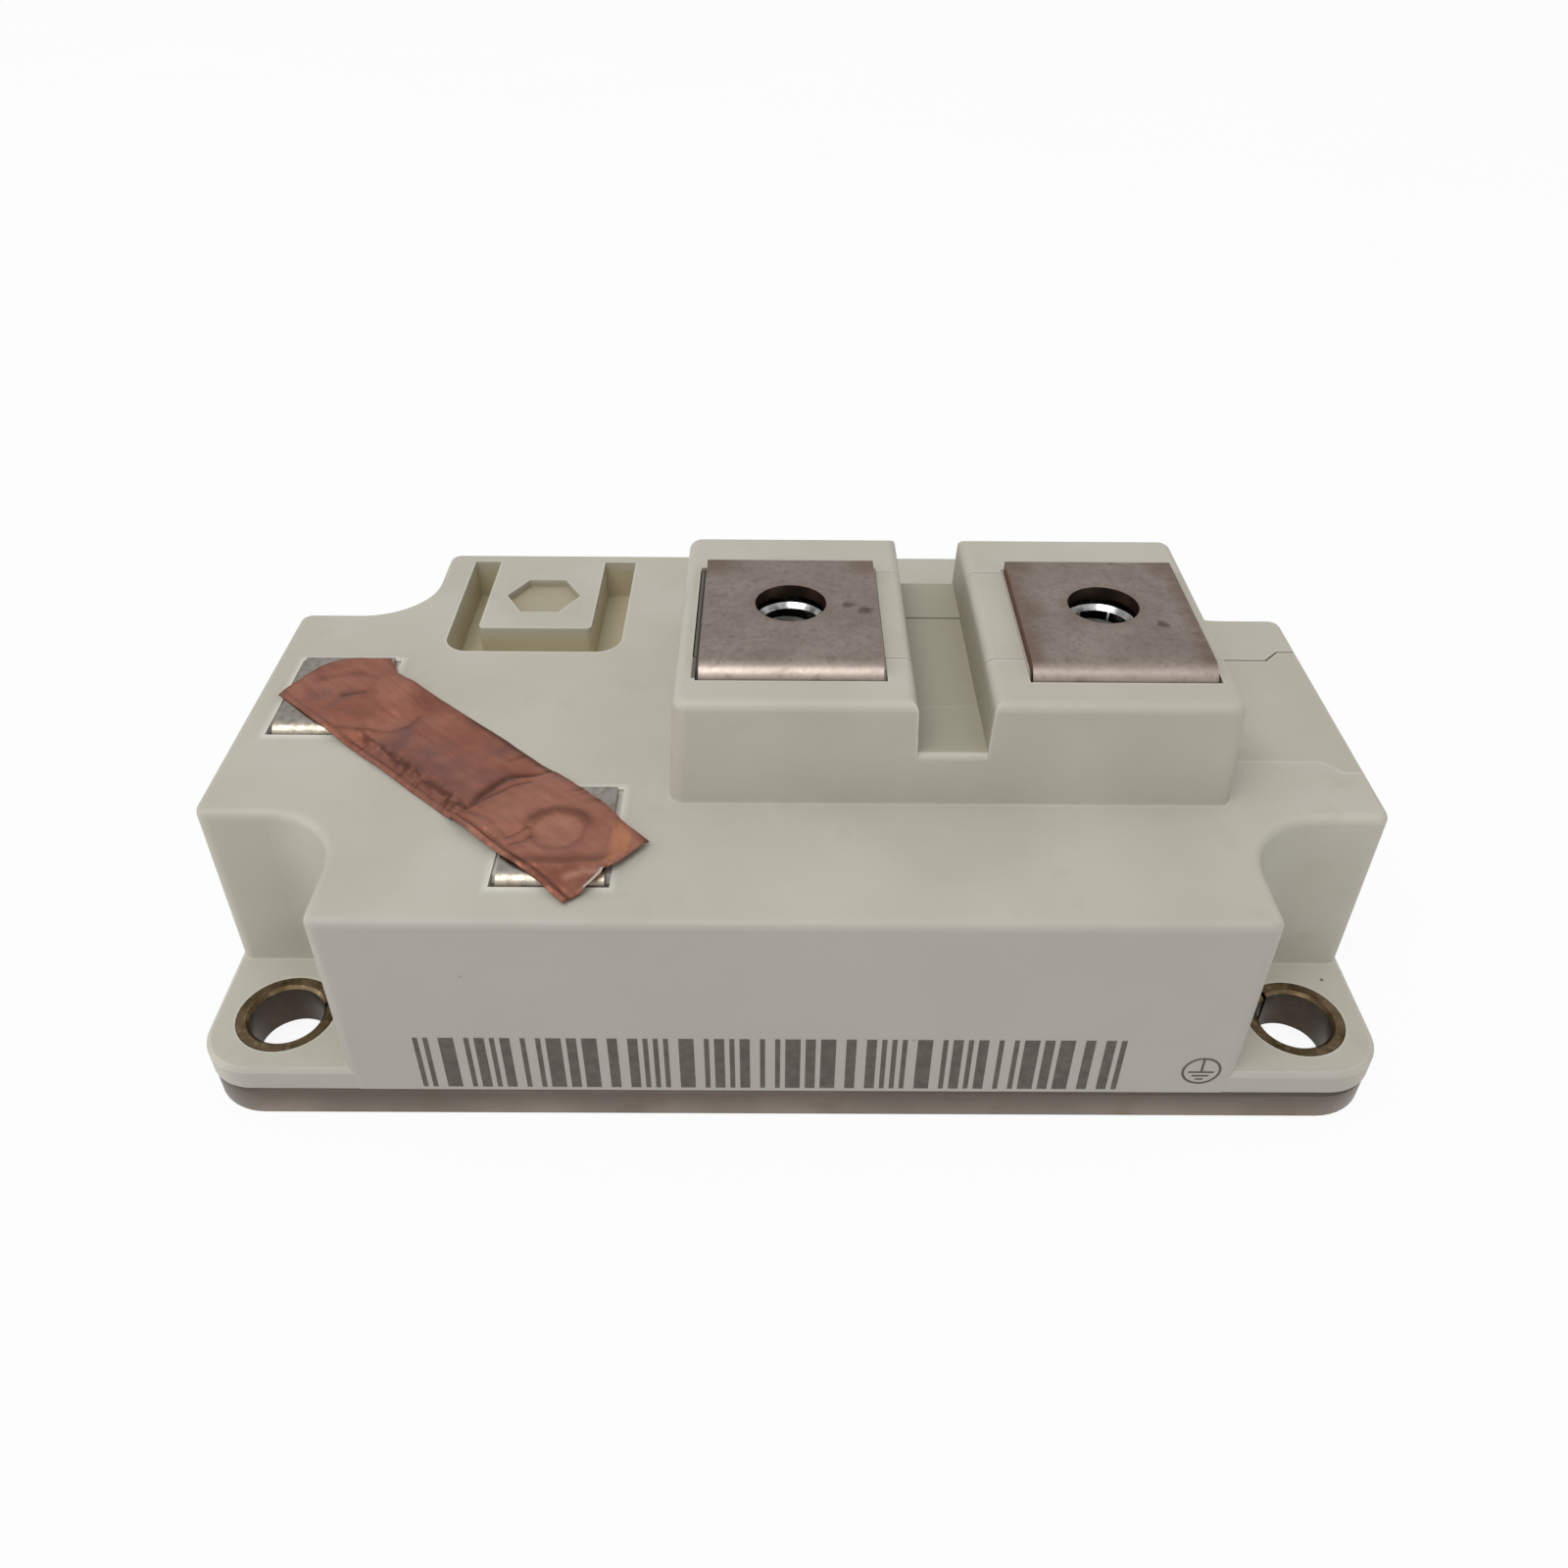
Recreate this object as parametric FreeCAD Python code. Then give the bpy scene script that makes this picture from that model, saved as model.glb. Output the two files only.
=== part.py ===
import FreeCAD, Part
import math
import os

# Single-switch power module in a 62 mm housing, with a copper foil strip that shorts its control terminals.
# Millimetres. The origin is the bottom centre of the baseplate: +X runs along the length towards the
# terminal block, +Y to the rear and +Z up.

# Baseplate and its mounting pattern
BASE_LENGTH = 106.4
BASE_WIDTH = 61.4
BASE_THICK = 3.0
BASE_CORNER = 5.6
BASE_EDGE = 0.25
HOLE_INSET = 6.7

# Rolled mounting bushes, pressed through the flange into the baseplate
BUSH_BORE = 6.6
BUSH_WALL = 1.15
BUSH_FIT = 0.05
BUSH_SLIT = 0.4
BUSH_LIFT = 1.2
BUSH_CHAMFER = 0.3
BUSH_SLIT_ANGLES = {"front_left": 20.0, "front_right": 125.0, "rear_left": -70.0, "rear_right": 200.0}

# Adhesive seam between baseplate and housing
SEAL_THICK = 0.2
SEAL_INSET = 0.6
SEAL_SKIN = 0.3

# Housing: flange, body and corner notches that leave room for the screw heads
FLANGE_TOP = 5.6
FLANGE_INSET = 0.1
FLANGE_CORNER = 5.0
FLANGE_EDGE = 0.4
BODY_TOP = 23.8
BODY_END_INSET = 0.3
BODY_SIDE_INSET = 0.05
BODY_CORNER = 1.3
BODY_EDGE = 0.8
NOTCH_RADIUS = 7.0
WALL = 1.9
DECK_THICK = 2.2

# Raised terminal block, drafted on all sides, with a slot between its two towers
BLOCK_TOP = 34.3
BLOCK_HALF_DEPTH = 15.3
BLOCK_LEFT_REACH = 10.8
BLOCK_RIGHT_REACH = 10.4
BLOCK_END_DRAFT = 0.7
BLOCK_FACE_DRAFT = 0.3
BLOCK_CORNER = 1.3
BLOCK_EDGE = 0.9
TOWER_SLOT_WIDTH = 6.1
TOWER_SLOT_SHIFT = -0.5
TOWER_SLOT_FLOOR = 29.2
TOWER_SLOT_DRAFT = 0.2
TOWER_SLOT_EDGE = 0.7
TOWER_ROOF = 2.2

# Nut carrier, slid into the housing from the right end
CARRIER_BOTTOM = 19.0
CARRIER_LEFT_REACH = 8.6
CARRIER_TONGUE_HALF = 8.65
CARRIER_INSERT_HALF = 7.7
CARRIER_SHOULDER = 2.0
CARRIER_HEAD_LENGTH = 2.1
CARRIER_HEAD_HALF = 10.3
CARRIER_HEAD_BOTTOM = 16.5
CARRIER_GAP = 0.12
CARRIER_SUNK = 0.12
CARRIER_CORE_WALL = 2.2
RAIL_WALL = 1.1
RAIL_LEDGE = 1.5
RAIL_LEDGE_THICK = 1.5

# Main terminals, folded from sheet
TERMINAL_X = -0.3
TERMINAL_PITCH = 29.0
TERMINAL_WIDTH = 16.1
TERMINAL_THICK = 1.2
TERMINAL_PROUD = 1.0
TERMINAL_BACK = 8.2
TERMINAL_FRONT = 11.3
TERMINAL_HOLE = 6.6
TERMINAL_BEND = 0.9
TERMINAL_SIDE_GAP = 0.3
TERMINAL_LEG_GAP = 0.2
FOOT_LENGTH = 5.0
FOOT_WIDTH = 5.0
FOOT_X = 12.0
BUS_BOTTOM = 8.0
BUS_HEIGHT = 4.0
EMITTER_LEVEL = 13.5
EMITTER_BUS_Y = 10.6

# Hexagon nuts: across flats, height, thread core, and the drop below the terminal plate
MAIN_NUT_FLATS = 10.0
MAIN_NUT_HEIGHT = 5.0
MAIN_NUT_CORE = 5.0
MAIN_NUT_DROP = 0.7
AUX_NUT_FLATS = 7.0
AUX_NUT_HEIGHT = 3.2
AUX_NUT_CORE = 3.3
AUX_NUT_DROP = 0.3
NUT_CHAMFER = 0.6
NUT_GAP = 0.1
SCREW_RELIEF_MAIN = 3.4
SCREW_RELIEF_AUX = 2.3
SCREW_DEPTH_MAIN = 7.0
SCREW_DEPTH_AUX = 2.0

# Control terminals: the gate one is set from the left end, the sense one from the front
GATE_INSET = 8.2
GATE_Y = 1.7
SENSE_X = -20.2
SENSE_INSET = 11.4
AUX_WIDTH = 9.0
AUX_THICK = 0.8
AUX_PROUD = 0.5
AUX_BACK = 5.6
AUX_FRONT = 6.8
AUX_HOLE = 4.4
AUX_BEND = 0.7
AUX_SIDE_GAP = 0.5
AUX_LEG_GAP = 0.3
AUX_BOSS_HALF = 5.2
AUX_BOSS_SKIN = 1.4
GATE_ARM_BOTTOM = 7.5
GATE_ARM_HEIGHT = 2.5
SENSE_SHOULDER = 15.0
SENSE_LEG_WIDTH = 3.0
SENSE_FOOT_REACH = 2.3

# Unused terminal position: a moat round an island with a shallow hexagon
MOAT_X = -27.1
MOAT_WIDTH = 18.4
MOAT_LENGTH = 19.2
MOAT_INSET = 2.0
MOAT_DEPTH = 4.5
MOAT_CORNER = 2.6
MOAT_SKIN = 1.4
ISLAND_X = -27.4
ISLAND_WIDTH = 12.0
ISLAND_SETBACK = 4.6
ISLAND_CORNER = 0.6
HEX_INSET = 9.7
HEX_CORNERS = 8.1
HEX_DEPTH = 0.9

# Copper foil strip laid across both control terminals, its outline in its own length and width directions
FOIL_THICK = 0.2
FOIL_SHIFT_X = -0.6
FOIL_SHIFT_Y = 3.4
FOIL_SKEW = -3.25
FOIL_OUTLINE = ((-0.4, -6.5), (42.8, -6.0), (42.4, 3.8), (36.0, 4.5), (4.6, 3.9), (2.0, 4.7), (-1.6, 0.0))
FOIL_RAMP = 2.5

# Power substrates inside: solder, copper, ceramic, copper
SUBSTRATE_GAP = 1.8
SUBSTRATE_END_GAP = 3.6
SUBSTRATE_SIDE_GAP = 2.75
SOLDER_THICK = 0.2
COPPER_THICK = 0.3
CERAMIC_THICK = 0.6
COPPER_MARGIN = 0.8
TRACK_GAP = 0.8
EMITTER_STRIP_X = 18.3
EMITTER_STRIP_WIDTH = 2.6
EMITTER_STRIP_SETBACK = 5.8
GATE_STRIP_WIDTH = 1.3
TRACK_SPLIT_Y = 8.0
GATE_PAD_X = 24.4
GATE_PAD_DEPTH = 7.0
SENSE_PAD_DEPTH = 2.2
SENSE_PAD_WIDTH = 6.4

# Chips, resistors and bond wires
IGBT_SIDE = 12.0
IGBT_END_GAP = 2.2
IGBT_FRONT_GAP = 3.3
DIODE_SIDE = 9.0
DIODE_X = 8.4
CHIP_MARGIN = 0.4
CHIP_THICK = 0.3
RESISTOR_LENGTH = 2.6
RESISTOR_WIDTH = 1.4
RESISTOR_HEIGHT = 0.8
WIRE_SIDE = 0.4
WIRE_RISE = 2.2
WIRE_LEAN = 0.4
WIRE_SPACING = 1.8
IGBT_WIRES = 5
DIODE_WIRES = 4

# Silicone gel over the chips
GEL_TOP = 12.8
GEL_GAP = 0.05
GEL_WIRE_ROOM = 0.3

# Levels and places worked out from the sizes above
HOUSING_BOTTOM = BASE_THICK + SEAL_THICK
BODY_HALF_X = BASE_LENGTH / 2 - BODY_END_INSET
BODY_HALF_Y = BASE_WIDTH / 2 - BODY_SIDE_INSET
HOLE_X = BASE_LENGTH / 2 - HOLE_INSET
HOLE_Y = BASE_WIDTH / 2 - HOLE_INSET
NOTCH_X = HOLE_X - NOTCH_RADIUS
NOTCH_Y = HOLE_Y - NOTCH_RADIUS
DECK_UNDER = BODY_TOP - DECK_THICK
BUSH_RADIUS = BUSH_BORE / 2 + BUSH_WALL
TERMINAL_XS = (TERMINAL_X, TERMINAL_X + TERMINAL_PITCH)
TERMINAL_TOP = BLOCK_TOP + TERMINAL_PROUD
TERMINAL_UNDER = TERMINAL_TOP - TERMINAL_THICK
BLOCK_LEFT = TERMINAL_XS[0] - BLOCK_LEFT_REACH
BLOCK_RIGHT = TERMINAL_XS[1] + BLOCK_RIGHT_REACH
SLOT_X = TERMINAL_X + TERMINAL_PITCH / 2 + TOWER_SLOT_SHIFT
CARRIER_LEFT = TERMINAL_XS[0] - CARRIER_LEFT_REACH
RAIL_BOTTOM = CARRIER_BOTTOM - CARRIER_GAP - RAIL_LEDGE_THICK
MAIN_NUT_TOP = TERMINAL_UNDER - MAIN_NUT_DROP
GATE_X = GATE_INSET - BASE_LENGTH / 2
SENSE_Y = SENSE_INSET - BASE_WIDTH / 2
MOAT_BACK = BASE_WIDTH / 2 - MOAT_INSET
MOAT_FRONT = MOAT_BACK - MOAT_LENGTH
ISLAND_FRONT = MOAT_FRONT + ISLAND_SETBACK
HEX_Y = BASE_WIDTH / 2 - HEX_INSET
FOIL_START_X = GATE_X + FOIL_SHIFT_X
FOIL_START_Y = GATE_Y + FOIL_SHIFT_Y
FOIL_ANGLE = math.degrees(math.atan2(SENSE_Y - GATE_Y, SENSE_X - GATE_X)) + FOIL_SKEW
AUX_TOP = BODY_TOP + AUX_PROUD
AUX_UNDER = AUX_TOP - AUX_THICK
AUX_NUT_TOP = AUX_UNDER - AUX_NUT_DROP
CERAMIC_BOTTOM = BASE_THICK + SOLDER_THICK + COPPER_THICK
TRACK_BOTTOM = CERAMIC_BOTTOM + CERAMIC_THICK
TRACK_TOP = TRACK_BOTTOM + COPPER_THICK
CHIP_TOP = TRACK_TOP + CHIP_THICK
SUBSTRATE_INNER = SUBSTRATE_GAP / 2
SUBSTRATE_OUTER = NOTCH_X - SUBSTRATE_END_GAP
SUBSTRATE_HALF_WIDTH = BODY_HALF_Y - WALL - SUBSTRATE_SIDE_GAP
COPPER_INNER = SUBSTRATE_INNER + COPPER_MARGIN
COPPER_OUTER = SUBSTRATE_OUTER - COPPER_MARGIN
COPPER_FRONT = COPPER_MARGIN - SUBSTRATE_HALF_WIDTH
EMITTER_STRIP_FRONT = COPPER_FRONT + EMITTER_STRIP_SETBACK
IGBT_X = COPPER_OUTER - IGBT_END_GAP - IGBT_SIDE / 2
IGBT_Y = (COPPER_FRONT + IGBT_FRONT_GAP + IGBT_SIDE / 2, TRACK_SPLIT_Y - CHIP_MARGIN - IGBT_SIDE / 2)
DIODE_Y = (COPPER_FRONT + CHIP_MARGIN + DIODE_SIDE / 2,
           FOOT_LENGTH - TERMINAL_FRONT + CHIP_MARGIN + DIODE_SIDE / 2)

# How far cutting tools run past a face, and the smallest length taken as real
OVER = 1.0
TINY = 1e-4


def vec(x, y, z=0.0):
    return FreeCAD.Vector(x, y, z)


def box(x0, x1, y0, y1, z0, z1):
    return Part.makeBox(x1 - x0, y1 - y0, z1 - z0, vec(x0, y0, z0))


def cylinder(radius, x, y, z0, z1):
    return Part.makeCylinder(radius, z1 - z0, vec(x, y, z0))


def fuse_all(shapes):
    result = shapes[0]
    for shape in shapes[1:]:
        result = result.fuse(shape)
    return result.removeSplitter()


def rounded_wire(points, radii):
    # A closed wire through the corner points, each corner replaced by a tangent arc of its radius.
    arcs = []
    for i, corner in enumerate(points):
        radius = radii[i]
        if radius <= 0:
            arcs.append((corner, None, corner))
            continue
        back = (points[i - 1] - corner).normalize()
        ahead = (points[(i + 1) % len(points)] - corner).normalize()
        half_angle = back.getAngle(ahead) / 2
        reach = radius / math.tan(half_angle)
        bisector = (back + ahead).normalize()
        middle = corner + bisector * (radius / math.sin(half_angle) - radius)
        arcs.append((corner + back * reach, middle, corner + ahead * reach))
    edges = []
    for i, (start, middle, end) in enumerate(arcs):
        if middle is not None:
            edges.append(Part.Arc(start, middle, end).toShape())
        next_start = arcs[(i + 1) % len(arcs)][0]
        if end.distanceToPoint(next_start) > TINY:
            edges.append(Part.LineSegment(end, next_start).toShape())
    return Part.Wire(edges)


def prism(points, direction, radii=None):
    return Part.Face(rounded_wire(points, radii or [0] * len(points))).extrude(direction)


def rect_points(x0, x1, y0, y1, z):
    return [vec(x0, y0, z), vec(x1, y0, z), vec(x1, y1, z), vec(x0, y1, z)]


def rounded_box(x0, x1, y0, y1, z0, z1, radius):
    return prism(rect_points(x0, x1, y0, y1, z0), vec(0, 0, z1 - z0), [radius] * 4)


def hexagon(flats, x, y, z0, z1):
    # A hexagonal prism with two corners along X.
    reach = flats / math.sqrt(3)
    points = []
    for k in range(6):
        angle = k * math.pi / 3
        points.append(vec(x + reach * math.cos(angle), y + reach * math.sin(angle), z0))
    return prism(points, vec(0, 0, z1 - z0))


def edges_at_height(shape, z):
    found = []
    for edge in shape.Edges:
        bounds = edge.BoundBox
        if abs(bounds.ZMin - z) < TINY and abs(bounds.ZMax - z) < TINY:
            found.append(edge)
    return found


def mounting_points():
    return {"front_left": (-HOLE_X, -HOLE_Y), "front_right": (HOLE_X, -HOLE_Y),
            "rear_left": (-HOLE_X, HOLE_Y), "rear_right": (HOLE_X, HOLE_Y)}


def cut_mounting_holes(shape, z0, z1):
    for x, y in mounting_points().values():
        shape = shape.cut(cylinder(BUSH_RADIUS + BUSH_FIT, x, y, z0, z1))
    return shape


def make_baseplate():
    half_x = BASE_LENGTH / 2
    half_y = BASE_WIDTH / 2
    plate = rounded_box(-half_x, half_x, -half_y, half_y, 0, BASE_THICK, BASE_CORNER)
    plate = plate.makeChamfer(BASE_EDGE, edges_at_height(plate, BASE_THICK))
    return cut_mounting_holes(plate, -OVER, BASE_THICK + OVER)


def make_bush(x, y, slit_angle):
    # A sleeve rolled from strip, so one axial slit stays open; the upper bore mouth is chamfered.
    top = FLANGE_TOP
    bore = BUSH_BORE / 2
    tube = cylinder(BUSH_RADIUS, x, y, BUSH_LIFT, top).cut(cylinder(bore, x, y, BUSH_LIFT, top))
    tube = tube.cut(Part.makeCone(bore, bore + BUSH_CHAMFER, BUSH_CHAMFER, vec(x, y, top - BUSH_CHAMFER)))
    slit = box(0, BUSH_RADIUS + OVER, -BUSH_SLIT / 2, BUSH_SLIT / 2, 0, top + OVER)
    slit.rotate(vec(0, 0), vec(0, 0, 1), slit_angle)
    slit.translate(vec(x, y))
    return tube.cut(slit)


def notched_prism(inset, z0, z1, corner):
    # The body outline: a rectangle whose corners are cut back round the mounting holes.
    half_x = BODY_HALF_X - inset
    half_y = BODY_HALF_Y - inset
    notch_x = NOTCH_X - inset
    notch_y = NOTCH_Y - inset
    quarter = [(notch_x, half_y, corner), (notch_x, notch_y, NOTCH_RADIUS + inset), (half_x, notch_y, corner)]
    points = []
    radii = []
    for sign_x, sign_y in ((1, -1), (1, 1), (-1, 1), (-1, -1)):
        ordered = quarter if sign_x * sign_y < 0 else quarter[::-1]
        for x, y, radius in ordered:
            points.append(vec(sign_x * x, sign_y * y, z0))
            radii.append(radius)
    return prism(points, vec(0, 0, z1 - z0), radii)


def make_block_form():
    # The drafted terminal block with rounded upright corners and top edges, and the slot between its towers.
    foot_half = BLOCK_HALF_DEPTH
    top_half = BLOCK_HALF_DEPTH - BLOCK_FACE_DRAFT
    block = Part.makeWedge(BLOCK_LEFT, BODY_TOP, -foot_half, -top_half, BLOCK_LEFT + BLOCK_END_DRAFT,
                           BLOCK_RIGHT, BLOCK_TOP, foot_half, top_half, BLOCK_RIGHT - BLOCK_END_DRAFT)
    block.rotate(vec(0, 0), vec(1, 0, 0), 90)
    block = block.makeFillet(BLOCK_CORNER, [edge for edge in block.Edges if edge.BoundBox.ZLength > TINY])
    half_floor = TOWER_SLOT_WIDTH / 2
    reach = BLOCK_HALF_DEPTH + OVER
    low = TOWER_SLOT_FLOOR
    high = BLOCK_TOP + OVER
    half_high = half_floor + TOWER_SLOT_DRAFT * (high - low) / (BLOCK_TOP - low)
    section = [vec(SLOT_X - half_floor, -reach, low), vec(SLOT_X + half_floor, -reach, low),
               vec(SLOT_X + half_high, -reach, high), vec(SLOT_X - half_high, -reach, high)]
    block = block.cut(prism(section, vec(0, 2 * reach, 0)))
    block = block.makeFillet(BLOCK_EDGE, edges_at_height(block, BLOCK_TOP))
    lips = [edge for edge in edges_at_height(block, TOWER_SLOT_FLOOR) if edge.BoundBox.YLength < TINY]
    block = block.makeFillet(TOWER_SLOT_EDGE, lips)
    root = rounded_box(BLOCK_LEFT, BLOCK_RIGHT, -foot_half, foot_half, DECK_UNDER, BODY_TOP, BLOCK_CORNER)
    return block.fuse(root)


def make_outer_form():
    # Everything the moulder sees from outside, still solid: flange, body and terminal block.
    half_x = BASE_LENGTH / 2 - FLANGE_INSET
    half_y = BASE_WIDTH / 2 - FLANGE_INSET
    flange = rounded_box(-half_x, half_x, -half_y, half_y, HOUSING_BOTTOM, FLANGE_TOP, FLANGE_CORNER)
    flange = flange.makeChamfer(FLANGE_EDGE, edges_at_height(flange, FLANGE_TOP))
    body = notched_prism(0, HOUSING_BOTTOM, BODY_TOP, BODY_CORNER)
    body = body.makeFillet(BODY_EDGE, edges_at_height(body, BODY_TOP))
    return fuse_all([body, flange, make_block_form()])


def carrier_space(gap):
    # The room that the nut carrier fills, grown by the running gap where the housing is cut for it.
    far = BODY_HALF_X + OVER
    left = CARRIER_LEFT - gap
    tongue = CARRIER_TONGUE_HALF + gap
    insert = CARRIER_INSERT_HALF + gap
    head = CARRIER_HEAD_HALF + gap
    bottom = CARRIER_BOTTOM - gap
    head_left = BODY_HALF_X - CARRIER_HEAD_LENGTH - gap
    step = CARRIER_HEAD_HALF - CARRIER_TONGUE_HALF
    shoulder = BODY_TOP - CARRIER_SHOULDER
    high = BLOCK_TOP + OVER
    front = [vec(BLOCK_RIGHT, -tongue, bottom), vec(head_left - step, -tongue, bottom),
             vec(head_left, -head, bottom), vec(far, -head, bottom)]
    outline = front + [vec(point.x, -point.y, bottom) for point in front[::-1]]
    deck_part = prism(outline, vec(0, 0, BODY_TOP + OVER - bottom))
    pieces = [box(left, far, -tongue, tongue, bottom, shoulder + gap),
              box(left, far, -insert, insert, shoulder - OVER, high),
              deck_part,
              box(head_left, far, -head, head, CARRIER_HEAD_BOTTOM - gap, BODY_TOP + OVER)]
    return fuse_all(pieces)


def terminal_recess(x, y, width, back, front, thick, bend, side_gap, leg_gap, under, through_to):
    # The shallow seat of a folded terminal, and the slot that its leg goes down through. The slot's rear
    # edge is sloped off, so that it clears the inside of the bend.
    half = width / 2 + side_gap
    seat = box(x - half, x + half, y - front - leg_gap, y + back + leg_gap, under, under + thick + OVER)
    slot = box(x - half, x + half, y - front - leg_gap, y - front + thick + leg_gap, through_to, under + OVER)
    edge = y - front + thick + leg_gap / 2
    slope = [vec(x - half, edge, under - bend), vec(x - half, edge + bend, under),
             vec(x - half, edge + bend, under + OVER), vec(x - half, edge, under + OVER)]
    return fuse_all([seat, slot, prism(slope, vec(2 * half, 0, 0))])


def main_recess(x):
    return terminal_recess(x, 0, TERMINAL_WIDTH, TERMINAL_BACK, TERMINAL_FRONT, TERMINAL_THICK, TERMINAL_BEND,
                           TERMINAL_SIDE_GAP, TERMINAL_LEG_GAP, TERMINAL_UNDER, RAIL_BOTTOM - OVER)


def aux_recess(x, y):
    return terminal_recess(x, y, AUX_WIDTH, AUX_BACK, AUX_FRONT, AUX_THICK, AUX_BEND,
                           AUX_SIDE_GAP, AUX_LEG_GAP, AUX_UNDER, DECK_UNDER - OVER)


def nut_pocket(x, y, flats, height, nut_top, open_to, relief, depth):
    floor = nut_top - height
    pocket = hexagon(flats + NUT_GAP, x, y, floor, open_to)
    return pocket.fuse(cylinder(relief, x, y, floor - depth, floor + OVER))


def main_pocket(x):
    return nut_pocket(x, 0, MAIN_NUT_FLATS, MAIN_NUT_HEIGHT, MAIN_NUT_TOP, TERMINAL_UNDER + OVER,
                      SCREW_RELIEF_MAIN, SCREW_DEPTH_MAIN)


def aux_pocket(x, y):
    return nut_pocket(x, y, AUX_NUT_FLATS, AUX_NUT_HEIGHT, AUX_NUT_TOP, AUX_UNDER + OVER,
                      SCREW_RELIEF_AUX, SCREW_DEPTH_AUX)


def tower_cores():
    # Hollows cored from below into the front and rear walls of each tower, to keep the walls even.
    inner = CARRIER_INSERT_HALF + WALL
    outer = BLOCK_HALF_DEPTH - BLOCK_FACE_DRAFT - WALL
    slot_half = TOWER_SLOT_WIDTH / 2 + TOWER_SLOT_DRAFT
    spans = [(BLOCK_LEFT + BLOCK_END_DRAFT + WALL, SLOT_X - slot_half - WALL),
             (SLOT_X + slot_half + WALL, BLOCK_RIGHT - BLOCK_END_DRAFT - WALL)]
    cores = []
    for x0, x1 in spans:
        for y0, y1 in ((-outer, -inner), (inner, outer)):
            cores.append(box(x0, x1, y0, y1, DECK_UNDER - OVER, BLOCK_TOP - TOWER_ROOF))
    return fuse_all(cores)


def make_moat():
    half = MOAT_WIDTH / 2
    low = BODY_TOP - MOAT_DEPTH
    high = BODY_TOP + OVER
    rise = vec(0, 0, high - low)
    outer = prism(rect_points(MOAT_X - half, MOAT_X + half, MOAT_FRONT, MOAT_BACK, low),
                  rise, [MOAT_CORNER, MOAT_CORNER, 0, 0])
    island_half = ISLAND_WIDTH / 2
    island = prism(rect_points(ISLAND_X - island_half, ISLAND_X + island_half,
                               ISLAND_FRONT, MOAT_BACK + OVER, low),
                   rise, [ISLAND_CORNER, ISLAND_CORNER, 0, 0])
    mark = hexagon(HEX_CORNERS * math.sqrt(3) / 2, ISLAND_X, HEX_Y, BODY_TOP - HEX_DEPTH, high)
    return outer.cut(island).fuse(mark)


def make_inner_supports():
    # Rails under the carrier, bosses round the small nuts and the floor of the moat, all inside the cavity.
    rail_half = CARRIER_TONGUE_HALF + CARRIER_GAP + RAIL_WALL
    boss_low = AUX_NUT_TOP - AUX_NUT_HEIGHT - SCREW_DEPTH_AUX - AUX_BOSS_SKIN
    moat_half = MOAT_WIDTH / 2 + MOAT_SKIN
    moat_low = BODY_TOP - MOAT_DEPTH - MOAT_SKIN
    high = DECK_UNDER + DECK_THICK / 4
    half_x = BODY_HALF_X - WALL / 2
    half_y = BODY_HALF_Y - WALL / 2
    parts = [box(CARRIER_LEFT - CARRIER_GAP - RAIL_WALL, half_x, -rail_half, rail_half, RAIL_BOTTOM, high),
             box(MOAT_X - moat_half, MOAT_X + moat_half, MOAT_FRONT - MOAT_SKIN, MOAT_BACK + MOAT_SKIN,
                 moat_low, high)]
    for x, y in ((GATE_X, GATE_Y), (SENSE_X, SENSE_Y)):
        parts.append(box(x - AUX_BOSS_HALF, x + AUX_BOSS_HALF, y - AUX_BOSS_HALF, y + AUX_BOSS_HALF,
                         boss_low, high))
    return fuse_all(parts).common(box(-half_x, half_x, -half_y, half_y, HOUSING_BOTTOM, high))


def make_cavity(z0, z1, skin=0.0):
    return notched_prism(WALL + skin, z0, z1, 0)


def make_housing(outer_form):
    housing = outer_form.cut(make_cavity(HOUSING_BOTTOM - OVER, DECK_UNDER))
    housing = housing.fuse(make_inner_supports())
    ledge_half = CARRIER_TONGUE_HALF - RAIL_LEDGE
    under_carrier = box(CARRIER_LEFT, BODY_HALF_X - CARRIER_HEAD_LENGTH - RAIL_LEDGE, -ledge_half, ledge_half,
                        HOUSING_BOTTOM, CARRIER_BOTTOM)
    cuts = [carrier_space(CARRIER_GAP), under_carrier, tower_cores(), make_moat()]
    cuts += [main_recess(x) for x in TERMINAL_XS]
    for x, y in ((GATE_X, GATE_Y), (SENSE_X, SENSE_Y)):
        cuts.append(aux_recess(x, y))
        cuts.append(aux_pocket(x, y))
    for tool in cuts:
        housing = housing.cut(tool)
    housing = cut_mounting_holes(housing, 0, FLANGE_TOP + OVER)
    return housing.removeSplitter()


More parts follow.
